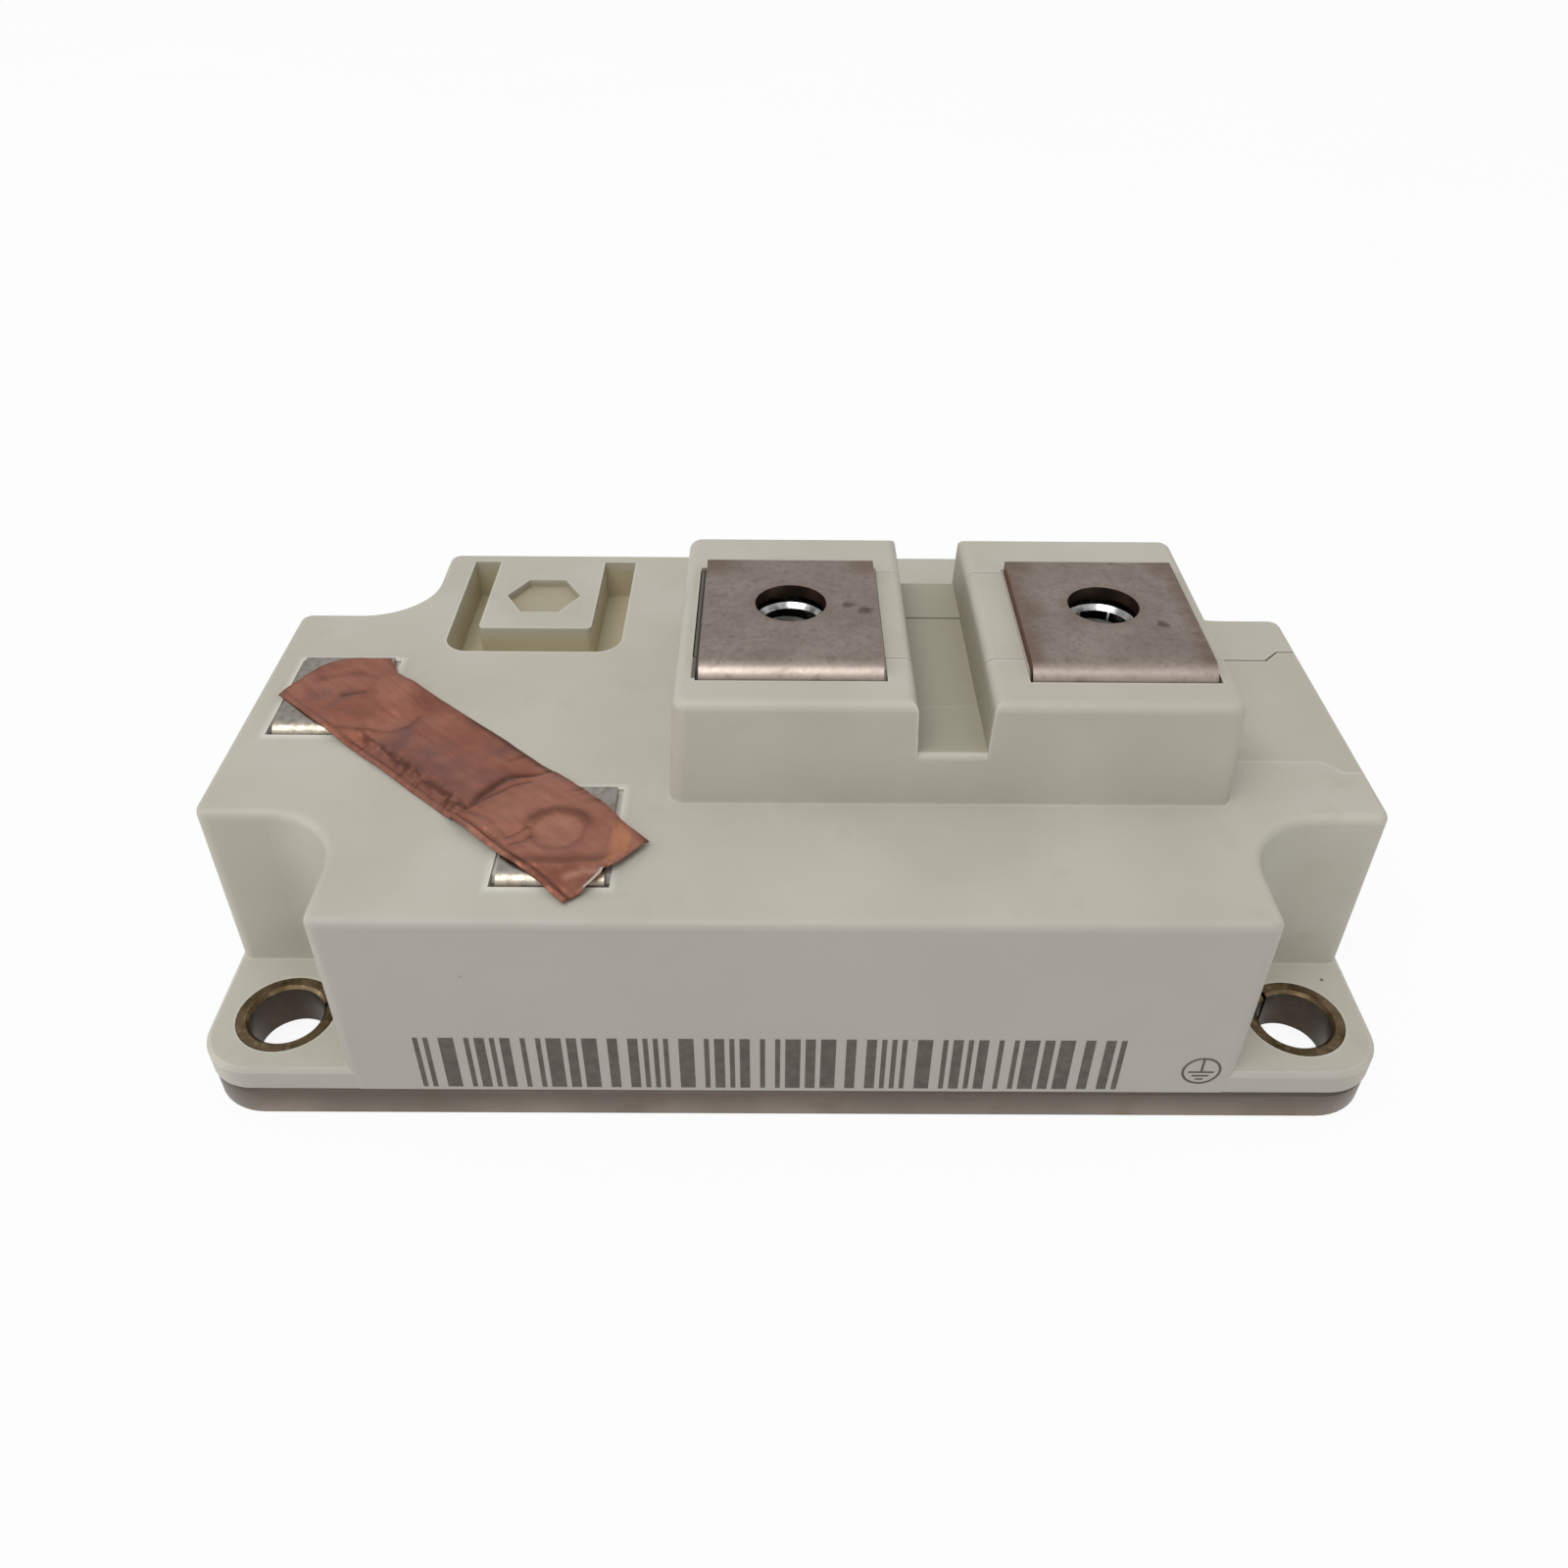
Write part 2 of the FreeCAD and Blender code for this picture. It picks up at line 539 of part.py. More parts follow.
def make_carrier(outer_form):
    carrier = outer_form.common(carrier_space(0))
    deck_skin = box(BLOCK_RIGHT + CARRIER_GAP, BODY_HALF_X + OVER, -BASE_WIDTH, BASE_WIDTH,
                    BODY_TOP - CARRIER_SUNK, BODY_TOP + OVER)
    slot_half = TOWER_SLOT_WIDTH / 2
    slot_skin = box(SLOT_X - slot_half, SLOT_X + slot_half, -BASE_WIDTH, BASE_WIDTH,
                    TOWER_SLOT_FLOOR - CARRIER_SUNK, TOWER_SLOT_FLOOR + OVER)
    core_x0 = BLOCK_RIGHT + CARRIER_CORE_WALL
    core_x1 = BODY_HALF_X - CARRIER_HEAD_LENGTH - CARRIER_CORE_WALL
    core_half = CARRIER_TONGUE_HALF - CARRIER_CORE_WALL
    tongue_core = box(core_x0, core_x1, -core_half, core_half,
                      CARRIER_BOTTOM - OVER, BODY_TOP - CARRIER_CORE_WALL)
    slot_core = box(SLOT_X - slot_half, SLOT_X + slot_half, -core_half, core_half,
                    CARRIER_BOTTOM - OVER, TOWER_SLOT_FLOOR - CARRIER_CORE_WALL)
    cuts = [deck_skin, slot_skin, tongue_core, slot_core]
    for x in TERMINAL_XS:
        cuts.append(main_recess(x))
        cuts.append(main_pocket(x))
    for tool in cuts:
        carrier = carrier.cut(tool)
    return carrier.removeSplitter()


def make_seal():
    # The bead follows the housing wall and is pressed out a little on both sides of it.
    bead = notched_prism(SEAL_INSET, BASE_THICK, HOUSING_BOTTOM, BODY_CORNER)
    return bead.cut(make_cavity(BASE_THICK - OVER, HOUSING_BOTTOM + OVER, -SEAL_SKIN))


def make_nut(x, y, flats, height, core, top):
    # A hexagon nut, its thread a plain bore with a countersunk mouth on the side the screw comes from.
    nut = hexagon(flats, x, y, top - height, top)
    nut = nut.cut(cylinder(core / 2, x, y, top - height - OVER, top + OVER))
    return nut.cut(Part.makeCone(core / 2, core / 2 + NUT_CHAMFER, NUT_CHAMFER, vec(x, y, top - NUT_CHAMFER)))


def folded_strip(path, thick, bend, x, width):
    # A sheet strip folded along the path of its outer face in the YZ plane, seen from the +X side.
    # The material lies to the left of the path; each corner is bent to the inner radius.
    outer = [vec(x - width / 2, y, z) for y, z in path]
    inner = []
    count = len(outer)
    normals = []
    for i in range(count - 1):
        run = (outer[i + 1] - outer[i]).normalize()
        normals.append(vec(0, -run.z, run.y))
    for i in range(count):
        if i == 0:
            shift = normals[0] * thick
        elif i == count - 1:
            shift = normals[-1] * thick
        else:
            pair = normals[i - 1] + normals[i]
            shift = pair * (thick / (1 + normals[i - 1].dot(normals[i])))
        inner.append(outer[i] + shift)
    outer_radii = [0] * count
    inner_radii = [0] * count
    for i in range(1, count - 1):
        turn = normals[i - 1].cross(normals[i]).x
        outer_radii[i] = bend if turn < 0 else bend + thick
        inner_radii[i] = bend + thick if turn < 0 else bend
    points = outer + inner[::-1]
    radii = outer_radii + inner_radii[::-1]
    return prism(points, vec(width, 0, 0), radii)


def terminal_blank(x, y, back, front, thick, bend, width, hole, top, leg_end):
    # The flat top with its screw hole, folded down at the front into the leg.
    path = [(y - front, leg_end), (y - front, top), (y + back, top)]
    strip = folded_strip(path[::-1], thick, bend, x, width)
    return strip.cut(cylinder(hole / 2, x, y, top - thick - OVER, top + OVER))


def make_collector():
    x = TERMINAL_XS[0]
    plate = terminal_blank(x, 0, TERMINAL_BACK, TERMINAL_FRONT, TERMINAL_THICK, TERMINAL_BEND,
                           TERMINAL_WIDTH, TERMINAL_HOLE, TERMINAL_TOP, BUS_BOTTOM)
    face = -TERMINAL_FRONT
    bus = box(-FOOT_X - FOOT_WIDTH / 2, FOOT_X + FOOT_WIDTH / 2, face, face + TERMINAL_THICK,
              BUS_BOTTOM, BUS_BOTTOM + BUS_HEIGHT)
    pieces = [plate, bus]
    for side in (-1, 1):
        path = [(face, BUS_BOTTOM + OVER), (face, TRACK_TOP), (face + FOOT_LENGTH, TRACK_TOP)]
        pieces.append(folded_strip(path, TERMINAL_THICK, TERMINAL_BEND, side * FOOT_X, FOOT_WIDTH))
    return fuse_all(pieces)


def make_emitter():
    x = TERMINAL_XS[1]
    face = -TERMINAL_FRONT
    rear = EMITTER_BUS_Y + TERMINAL_THICK
    path = [(TERMINAL_BACK, TERMINAL_TOP), (face, TERMINAL_TOP), (face, EMITTER_LEVEL),
            (EMITTER_BUS_Y, EMITTER_LEVEL), (EMITTER_BUS_Y, BUS_BOTTOM)]
    plate = folded_strip(path, TERMINAL_THICK, TERMINAL_BEND, x, TERMINAL_WIDTH)
    plate = plate.cut(cylinder(TERMINAL_HOLE / 2, x, 0, TERMINAL_UNDER - OVER, TERMINAL_TOP + OVER))
    bus = box(-FOOT_X - FOOT_WIDTH / 2, x + TERMINAL_WIDTH / 2, EMITTER_BUS_Y, rear,
              BUS_BOTTOM, BUS_BOTTOM + BUS_HEIGHT)
    pieces = [plate, bus]
    for side in (-1, 1):
        path = [(EMITTER_BUS_Y, BUS_BOTTOM + OVER), (EMITTER_BUS_Y, TRACK_TOP),
                (EMITTER_BUS_Y + FOOT_LENGTH, TRACK_TOP)]
        pieces.append(folded_strip(path, TERMINAL_THICK, TERMINAL_BEND, side * FOOT_X, FOOT_WIDTH))
    return fuse_all(pieces)


def make_gate_terminal():
    # The leg carries an arm that reaches across to the gate track of the left substrate.
    leg_y = GATE_Y - AUX_FRONT
    blank = terminal_blank(GATE_X, GATE_Y, AUX_BACK, AUX_FRONT, AUX_THICK, AUX_BEND,
                           AUX_WIDTH, AUX_HOLE, AUX_TOP, GATE_ARM_BOTTOM)
    arm = box(GATE_X, GATE_STRIP_WIDTH - COPPER_OUTER, leg_y, leg_y + AUX_THICK,
              GATE_ARM_BOTTOM, GATE_ARM_BOTTOM + GATE_ARM_HEIGHT)
    pin = box(-COPPER_OUTER, GATE_STRIP_WIDTH - COPPER_OUTER, leg_y, leg_y + AUX_THICK,
              TRACK_TOP, GATE_ARM_BOTTOM + OVER)
    return fuse_all([blank, arm, pin])


def make_sense_terminal():
    leg_y = SENSE_Y - AUX_FRONT
    pad_x = -EMITTER_STRIP_X
    blank = terminal_blank(SENSE_X, SENSE_Y, AUX_BACK, AUX_FRONT, AUX_THICK, AUX_BEND,
                           AUX_WIDTH, AUX_HOLE, AUX_TOP, SENSE_SHOULDER)
    path = [(leg_y, SENSE_SHOULDER + OVER), (leg_y, TRACK_TOP), (leg_y + SENSE_FOOT_REACH, TRACK_TOP)]
    leg = folded_strip(path, AUX_THICK, AUX_BEND, pad_x, SENSE_LEG_WIDTH)
    return fuse_all([blank, leg])


def foil_frame(shape):
    # Moves a shape from the strip's own length and width directions to its place on the deck.
    shape.rotate(vec(0, 0), vec(0, 0, 1), FOIL_ANGLE)
    shape.translate(vec(FOIL_START_X, FOIL_START_Y))
    return shape


def along_foil(x, y):
    angle = math.radians(FOIL_ANGLE)
    return (x - FOIL_START_X) * math.cos(angle) + (y - FOIL_START_Y) * math.sin(angle)


def make_foil():
    # A thin strip that lies on both control terminals and sinks to the deck between them.
    plate_end = along_foil(GATE_X + AUX_WIDTH / 2, GATE_Y - AUX_FRONT)
    plate_start = along_foil(SENSE_X - AUX_WIDTH / 2, SENSE_Y + AUX_BACK)
    high = AUX_TOP
    low = BODY_TOP
    start = min(s for s, t in FOIL_OUTLINE) - OVER
    end = max(s for s, t in FOIL_OUTLINE) + OVER
    reach = max(abs(t) for s, t in FOIL_OUTLINE) + OVER
    line = [(start, high), (plate_end, high), (plate_end + FOIL_RAMP, low),
            (plate_start - FOIL_RAMP, low), (plate_start, high), (end, high)]
    under = [vec(s, -reach, z) for s, z in line]
    over = [vec(s, -reach, z + FOIL_THICK) for s, z in line[::-1]]
    sheet = prism(under + over, vec(0, 2 * reach, 0))
    outline = [vec(s, t, low - OVER) for s, t in FOIL_OUTLINE]
    cutter = prism(outline, vec(0, 0, high + FOIL_THICK - low + 2 * OVER))
    return foil_frame(sheet.common(cutter))


def mirror_x(side, x0, x1):
    return (x0, x1) if side > 0 else (-x1, -x0)


def layer(side, inset, z0, z1):
    x0, x1 = mirror_x(side, SUBSTRATE_INNER + inset, SUBSTRATE_OUTER - inset)
    half = SUBSTRATE_HALF_WIDTH - inset
    return box(x0, x1, -half, half, z0, z1)


def track_box(side, x0, x1, y0, y1):
    left, right = mirror_x(side, x0, x1)
    return box(left, right, y0, y1, TRACK_BOTTOM, TRACK_TOP)


def make_tracks(side):
    # Collector field, emitter field with its strip between the chips, gate track and sense pad.
    strip_x0 = EMITTER_STRIP_X - EMITTER_STRIP_WIDTH / 2
    strip_x1 = EMITTER_STRIP_X + EMITTER_STRIP_WIDTH / 2
    gate_x0 = COPPER_OUTER - GATE_STRIP_WIDTH
    emitter_y = TRACK_SPLIT_Y + TRACK_GAP
    sense_x0 = EMITTER_STRIP_X - SENSE_PAD_WIDTH / 2
    sense_x1 = EMITTER_STRIP_X + SENSE_PAD_WIDTH / 2
    sense_y = COPPER_FRONT + SENSE_PAD_DEPTH
    collector = track_box(side, COPPER_INNER, gate_x0 - TRACK_GAP, COPPER_FRONT, TRACK_SPLIT_Y)
    collector = collector.cut(track_box(side, strip_x0 - TRACK_GAP, strip_x1 + TRACK_GAP,
                                        EMITTER_STRIP_FRONT - TRACK_GAP, TRACK_SPLIT_Y))
    collector = collector.cut(track_box(side, sense_x0 - TRACK_GAP, sense_x1 + TRACK_GAP,
                                        COPPER_FRONT, sense_y + TRACK_GAP))
    emitter = track_box(side, COPPER_INNER, GATE_PAD_X - TRACK_GAP, emitter_y, -COPPER_FRONT)
    emitter = emitter.fuse(track_box(side, strip_x0, strip_x1, EMITTER_STRIP_FRONT, emitter_y))
    gate = track_box(side, gate_x0, COPPER_OUTER, EMITTER_STRIP_FRONT, emitter_y)
    gate = gate.fuse(track_box(side, GATE_PAD_X, COPPER_OUTER, emitter_y, emitter_y + GATE_PAD_DEPTH))
    sense = track_box(side, sense_x0, sense_x1, COPPER_FRONT, sense_y)
    return Part.makeCompound([collector, emitter.removeSplitter(), gate.removeSplitter(), sense])


def make_chip(side, x, y, edge):
    half = edge / 2
    x0, x1 = mirror_x(side, x - half, x + half)
    return box(x0, x1, y - half, y + half, TRACK_TOP, CHIP_TOP)


def make_resistor(side):
    x0, x1 = mirror_x(side, GATE_PAD_X + OVER, GATE_PAD_X + OVER + RESISTOR_LENGTH)
    y = TRACK_SPLIT_Y + TRACK_GAP + GATE_PAD_DEPTH / 2
    return box(x0, x1, y - RESISTOR_WIDTH / 2, y + RESISTOR_WIDTH / 2, TRACK_TOP, TRACK_TOP + RESISTOR_HEIGHT)


def wire_loop(side, x_chip, y):
    # One bond wire: a loop of three runs from the middle of a chip down to the emitter strip.
    inward = 1 if EMITTER_STRIP_X > x_chip else -1
    high = CHIP_TOP + WIRE_RISE
    lean = WIRE_RISE * WIRE_LEAN
    outer = [(x_chip, CHIP_TOP), (x_chip + inward * lean, high),
             (EMITTER_STRIP_X - inward * lean, high), (EMITTER_STRIP_X, TRACK_TOP)]
    shoulder = lean + WIRE_SIDE / 2
    inner = [(EMITTER_STRIP_X - inward * WIRE_SIDE, TRACK_TOP),
             (EMITTER_STRIP_X - inward * shoulder, high - WIRE_SIDE),
             (x_chip + inward * shoulder, high - WIRE_SIDE), (x_chip + inward * WIRE_SIDE, CHIP_TOP)]
    return prism([vec(side * x, y - WIRE_SIDE / 2, z) for x, z in outer + inner], vec(0, WIRE_SIDE, 0))


def wire_rows():
    rows = []
    for y in IGBT_Y:
        rows += [(IGBT_X, y + (k - (IGBT_WIRES - 1) / 2) * WIRE_SPACING) for k in range(IGBT_WIRES)]
    for y in DIODE_Y:
        rows += [(DIODE_X, y + (k - (DIODE_WIRES - 1) / 2) * WIRE_SPACING) for k in range(DIODE_WIRES)]
    return rows


def make_wires(side):
    return Part.makeCompound([wire_loop(side, x, y) for x, y in wire_rows()])


def gel_wire_room(side):
    # The gel is left open round each row of bond wires and its chip.
    rooms = []
    for x, ys, count in ((IGBT_X, IGBT_Y, IGBT_WIRES), (DIODE_X, DIODE_Y, DIODE_WIRES)):
        for y in ys:
            half = (count - 1) / 2 * WIRE_SPACING + WIRE_SIDE / 2 + GEL_WIRE_ROOM
            x0, x1 = sorted((x, EMITTER_STRIP_X))
            left, right = mirror_x(side, x0 - GEL_WIRE_ROOM, x1 + GEL_WIRE_ROOM)
            rooms.append(box(left, right, y - half, y + half,
                             TRACK_TOP, CHIP_TOP + WIRE_RISE + GEL_WIRE_ROOM))
    return rooms


def make_gel(held):
    # The gel fills the housing to its level, except for the substrates and the room round the wires.
    gel = make_cavity(BASE_THICK, GEL_TOP, GEL_GAP)
    cuts = []
    for side in (-1, 1):
        cuts.append(layer(side, 0, BASE_THICK - OVER, TRACK_TOP))
        cuts += gel_wire_room(side)
    for tool in cuts + held:
        gel = gel.cut(tool)
    solids = sorted(gel.Solids, key=lambda solid: solid.Volume)
    return solids[-1]


def build_parts():
    outer_form = make_outer_form()
    parts = {"baseplate": make_baseplate(), "sealing_adhesive": make_seal(),
             "housing": make_housing(outer_form), "nut_carrier": make_carrier(outer_form)}
    for name, (x, y) in mounting_points().items():
        parts["bush_" + name] = make_bush(x, y, BUSH_SLIT_ANGLES[name])
    parts["collector_terminal"] = make_collector()
    parts["emitter_terminal"] = make_emitter()
    parts["gate_terminal"] = make_gate_terminal()
    parts["sense_terminal"] = make_sense_terminal()
    for name, x in zip(("collector_nut", "emitter_nut"), TERMINAL_XS):
        parts[name] = make_nut(x, 0, MAIN_NUT_FLATS, MAIN_NUT_HEIGHT, MAIN_NUT_CORE, MAIN_NUT_TOP)
    for name, x, y in (("gate_nut", GATE_X, GATE_Y), ("sense_nut", SENSE_X, SENSE_Y)):
        parts[name] = make_nut(x, y, AUX_NUT_FLATS, AUX_NUT_HEIGHT, AUX_NUT_CORE, AUX_NUT_TOP)
    parts["shorting_foil"] = make_foil()
    for side, name in ((-1, "left"), (1, "right")):
        copper_bottom = BASE_THICK + SOLDER_THICK
        parts["solder_" + name] = layer(side, COPPER_MARGIN, BASE_THICK, copper_bottom)
        parts["bottom_copper_" + name] = layer(side, COPPER_MARGIN, copper_bottom, CERAMIC_BOTTOM)
        parts["ceramic_" + name] = layer(side, 0, CERAMIC_BOTTOM, TRACK_BOTTOM)
        parts["tracks_" + name] = make_tracks(side)
        for place, y in zip(("front", "rear"), IGBT_Y):
            parts["igbt_chip_" + place + "_" + name] = make_chip(side, IGBT_X, y, IGBT_SIDE)
        for place, y in zip(("front", "rear"), DIODE_Y):
            parts["diode_chip_" + place + "_" + name] = make_chip(side, DIODE_X, y, DIODE_SIDE)
        parts["gate_resistor_" + name] = make_resistor(side)
        parts["bond_wires_" + name] = make_wires(side)
    held = [shape for name, shape in parts.items()
            if name.startswith(("igbt", "diode", "gate_resistor")) or name.endswith("_terminal")]
    parts["silicone_gel"] = make_gel(held)
    return parts


os.makedirs("parts", exist_ok=True)
for node, shape in build_parts().items():
    shape.exportStep("parts/" + node + ".step")
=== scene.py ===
import math

import bpy
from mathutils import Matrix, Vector, noise


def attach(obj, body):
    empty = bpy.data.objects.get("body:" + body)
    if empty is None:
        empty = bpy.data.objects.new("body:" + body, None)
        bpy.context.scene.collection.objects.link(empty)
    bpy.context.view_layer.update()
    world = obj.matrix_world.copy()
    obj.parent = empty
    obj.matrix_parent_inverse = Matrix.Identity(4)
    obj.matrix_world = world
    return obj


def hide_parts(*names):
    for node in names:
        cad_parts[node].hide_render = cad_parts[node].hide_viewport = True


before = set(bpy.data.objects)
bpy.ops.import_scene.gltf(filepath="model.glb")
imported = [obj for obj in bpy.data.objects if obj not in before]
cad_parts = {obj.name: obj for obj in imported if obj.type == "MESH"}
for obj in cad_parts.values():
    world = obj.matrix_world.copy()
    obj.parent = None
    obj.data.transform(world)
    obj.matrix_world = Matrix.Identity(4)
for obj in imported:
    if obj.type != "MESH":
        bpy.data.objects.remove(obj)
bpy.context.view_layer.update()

# Power semiconductor module on a white table. Metres in the scene; real sizes are written in
# millimetres and multiplied by MM. X runs along the module, Y to its rear and Z up.
MM = 0.001
scene = bpy.context.scene
scene.view_settings.view_transform = "Standard"

# Camera, solved from the module's outline in a 1600 x 1600 frame
CAMERA_PLACE = (-1.51, -104.6, 96.2)
CAMERA_TURN = (51.82, -0.455, -0.056)
CAMERA_LENS = 29.71
SENSOR = 36.0
CLIP_START = 5.0

# Places on the module, in millimetres
FOIL_START = (-45.6, 5.1)
FOIL_ANGLE = math.radians(-43.5)
BODY_TOP = 23.8
FRONT_FACE = -30.65
TERMINAL_TOP = 35.3
COLLECTOR_X = -0.3
EMITTER_X = 28.7
GATE = (-45.0, 1.7)
SENSE = (-20.2, -19.3)
MOAT = (-27.1, 19.1, 9.2, 9.6, BODY_TOP)
SLOT = (13.7, 0.0, 3.3, 14.7, 34.3)
HEXAGON = (-27.4, 21.0, 4.3, 3.9, BODY_TOP + 0.1)
PLATE_GAP = (COLLECTOR_X - 8.4, -1.4, 0.24, 9.7, TERMINAL_TOP + 1)
# A recess is shaded from just under its rim, and in full from this depth on
SHADE_START = 0.05
SHADE_FULL = 1.6
# Painted light round a control terminal: how far its middle lies to the front, and its half sides
PAINTED_LIGHT_SHIFT = 0.6
PAINTED_LIGHT_HALF = (5.0, 6.7)
# Dark blots on the main terminals, each with its place and radius
DARK_BLOTS = (((6.6, -1.2, TERMINAL_TOP), 0.9), ((5.0, -0.4, TERMINAL_TOP), 0.7),
              ((33.4, -3.4, TERMINAL_TOP), 0.8), ((2.0, -11.2, 34.0), 0.7), ((24.6, -11.2, 34.0), 0.8))
# Corners and sides of a main terminal's plate, from its middle
PLATE_CORNER = 7.6
PLATE_SIDE = 8.3
# Heights between which a nut's bore turns dark
THREAD_SHADE = (32.6, 32.0)

# Table and lamps, in metres and watts; each lamp has its name, width, depth, power and place
TABLE_SIZE = 3.0
TABLE_LEVEL = -0.0002
TABLE_WHITE = 0.92
SKY_STRENGTH = (0.5, 0.74)
LAMPS = (("softbox", 0.9, 0.6, 7.4, (-0.3, -0.55, 1.2)), ("fill", 0.5, 0.5, 1.5, (-1.0, -0.15, 0.3)))


# Small helpers

def linear(code):
    # An sRGB hex colour as linear red, green, blue and alpha.
    values = []
    for k in (1, 3, 5):
        c = int(code[k:k + 2], 16) / 255
        values.append(c / 12.92 if c <= 0.04045 else ((c + 0.055) / 1.055) ** 2.4)
    return (*values, 1.0)


def smooth_step(low, high, value):
    t = min(1.0, max(0.0, (value - low) / (high - low)))
    return t * t * (3 - 2 * t)


def bell(distance, width):
    return math.exp(-(distance / width) ** 2)


def deselect():
    if bpy.context.object and bpy.context.object.mode != "OBJECT":
        bpy.ops.object.mode_set(mode="OBJECT")
    bpy.ops.object.select_all(action="DESELECT")


def only(piece):
    deselect()
    piece.select_set(True)
    bpy.context.view_layer.objects.active = piece


def apply_place(piece):
    only(piece)
    bpy.ops.object.transform_apply(location=True, rotation=True, scale=True)


def apply_modifier(piece, kind, **settings):
    only(piece)
    modifier = piece.modifiers.new(kind.lower(), kind)
    for key, value in settings.items():
        setattr(modifier, key, value)
    bpy.ops.object.modifier_apply(modifier=modifier.name)


def edit_all(piece, *steps):
    # Runs mesh operators one after another, each with its settings, on all of a piece's mesh.
    only(piece)
    bpy.ops.object.mode_set(mode="EDIT")
    for step, settings in steps:
        bpy.ops.mesh.select_all(action="SELECT")
        step(**settings)
    bpy.ops.object.mode_set(mode="OBJECT")


def name_piece(name):
    piece = bpy.context.object
    piece.name = name
    piece.data.name = name
    return piece


# Materials

def add_node(tree, kind, settings=(), links=()):
    # Adds one node, sets its properties and sockets, and links other sockets into it.
    node = tree.nodes.new(kind)
    for key, value in dict(settings).items():
        if isinstance(key, str) and hasattr(node, key):
            setattr(node, key, value)
        else:
            node.inputs[key].default_value = value
    for key, source in dict(links).items():
        tree.links.new(source, node.inputs[key])
    return node


def start_material(name, colour, roughness, metallic=0.0):
    material = bpy.data.materials.new(name)
    material.use_nodes = True
    tree = material.node_tree
    shader = tree.nodes["Principled BSDF"]
    shader.inputs["Base Color"].default_value = linear(colour)
    shader.inputs["Roughness"].default_value = roughness
    shader.inputs["Metallic"].default_value = metallic
    coords = add_node(tree, "ShaderNodeTexCoord").outputs["Object"]
    return material, tree, shader, coords


def patches(tree, coords, size, low, high, detail=3.0, least=0.0, most=1.0):
    # Soft patches of a real size: noise, with two of its levels brought to the least and the most.
    clouds = add_node(tree, "ShaderNodeTexNoise", {"Scale": 1 / (size * MM), "Detail": detail},
                      {"Vector": coords})
    spread = add_node(tree, "ShaderNodeMapRange",
                      {"From Min": low, "From Max": high, "To Min": least, "To Max": most},
                      {"Value": clouds.outputs["Fac"]})
    return spread.outputs["Result"]


def cloudy(tree, coords, size, first, second, detail=3.0):
    # One colour drifting into another in patches of a real size.
    mask = patches(tree, coords, size, 0.35, 0.65, detail)
    return add_node(tree, "ShaderNodeMix", {"data_type": "RGBA", 6: linear(first), 7: linear(second)},
                    {0: mask}).outputs[2]


def stain(tree, under, mask, amount, colour):
    # A colour laid over another one by a share of a mask.
    share = add_node(tree, "ShaderNodeMath", {"operation": "MULTIPLY", 1: amount}, {0: mask})
    return add_node(tree, "ShaderNodeMix", {"data_type": "RGBA", 7: linear(colour)},
                    {0: share.outputs[0], 6: under}).outputs[2]


def fine_grain(tree, shader, coords, size, depth, detail=2.0):
    # Fine even relief: noise of a real size and depth.
    grain = add_node(tree, "ShaderNodeTexNoise", {"Scale": 1 / (size * MM), "Detail": detail},
                     {"Vector": coords})
    bump = add_node(tree, "ShaderNodeBump", {"Distance": depth * MM}, {"Height": grain.outputs["Fac"]})
    tree.links.new(bump.outputs["Normal"], shader.inputs["Normal"])


def drawn_lines(tree, shader, coords, squeeze, size, depth, smooth, dull):
    # Lines left by rolling or milling: noise squeezed one way, as relief and as roughness.
    squeezed = add_node(tree, "ShaderNodeMapping", {"Scale": squeeze}, {"Vector": coords})
    lines = add_node(tree, "ShaderNodeTexNoise", {"Scale": 1 / (size * MM), "Detail": 3.0},
                     {"Vector": squeezed.outputs["Vector"]})
    bump = add_node(tree, "ShaderNodeBump", {"Distance": depth * MM}, {"Height": lines.outputs["Fac"]})
    tree.links.new(bump.outputs["Normal"], shader.inputs["Normal"])
    spread = add_node(tree, "ShaderNodeMapRange", {"To Min": smooth, "To Max": dull},
                      {"Value": lines.outputs["Fac"]})
    tree.links.new(spread.outputs["Result"], shader.inputs["Roughness"])


def ragged(tree, coords, size, amount):
    # Coordinates pushed about by noise, so that what is drawn on them gets a ragged edge.
    clouds = add_node(tree, "ShaderNodeTexNoise", {"Scale": 1 / (size * MM), "Detail": 2.0},
                      {"Vector": coords})
    push = add_node(tree, "ShaderNodeVectorMath",
                    {"operation": "MULTIPLY_ADD", 1: (amount * MM,) * 3, 2: (-amount * MM / 2,) * 3},
                    {0: clouds.outputs["Color"]})
    return add_node(tree, "ShaderNodeVectorMath", {"operation": "ADD"},
                    {0: coords, 1: push.outputs["Vector"]}).outputs["Vector"]


def blots(tree, coords, places):
    # A mask of soft blots, each with its place and radius in millimetres.
    total = None
    for place, radius in places:
        gap = add_node(tree, "ShaderNodeVectorMath", {"operation": "DISTANCE", 1: [c * MM for c in place]},
                       {0: coords})
        blot = add_node(tree, "ShaderNodeMapRange",
                        {"From Min": radius * MM * 0.4, "From Max": radius * MM,
                         "To Min": 1.0, "To Max": 0.0},
                        {"Value": gap.outputs["Value"]}).outputs["Result"]
        total = blot if total is None else add_node(tree, "ShaderNodeMath", {"operation": "MAXIMUM"},
                                                    {0: total, 1: blot}).outputs[0]
    return total


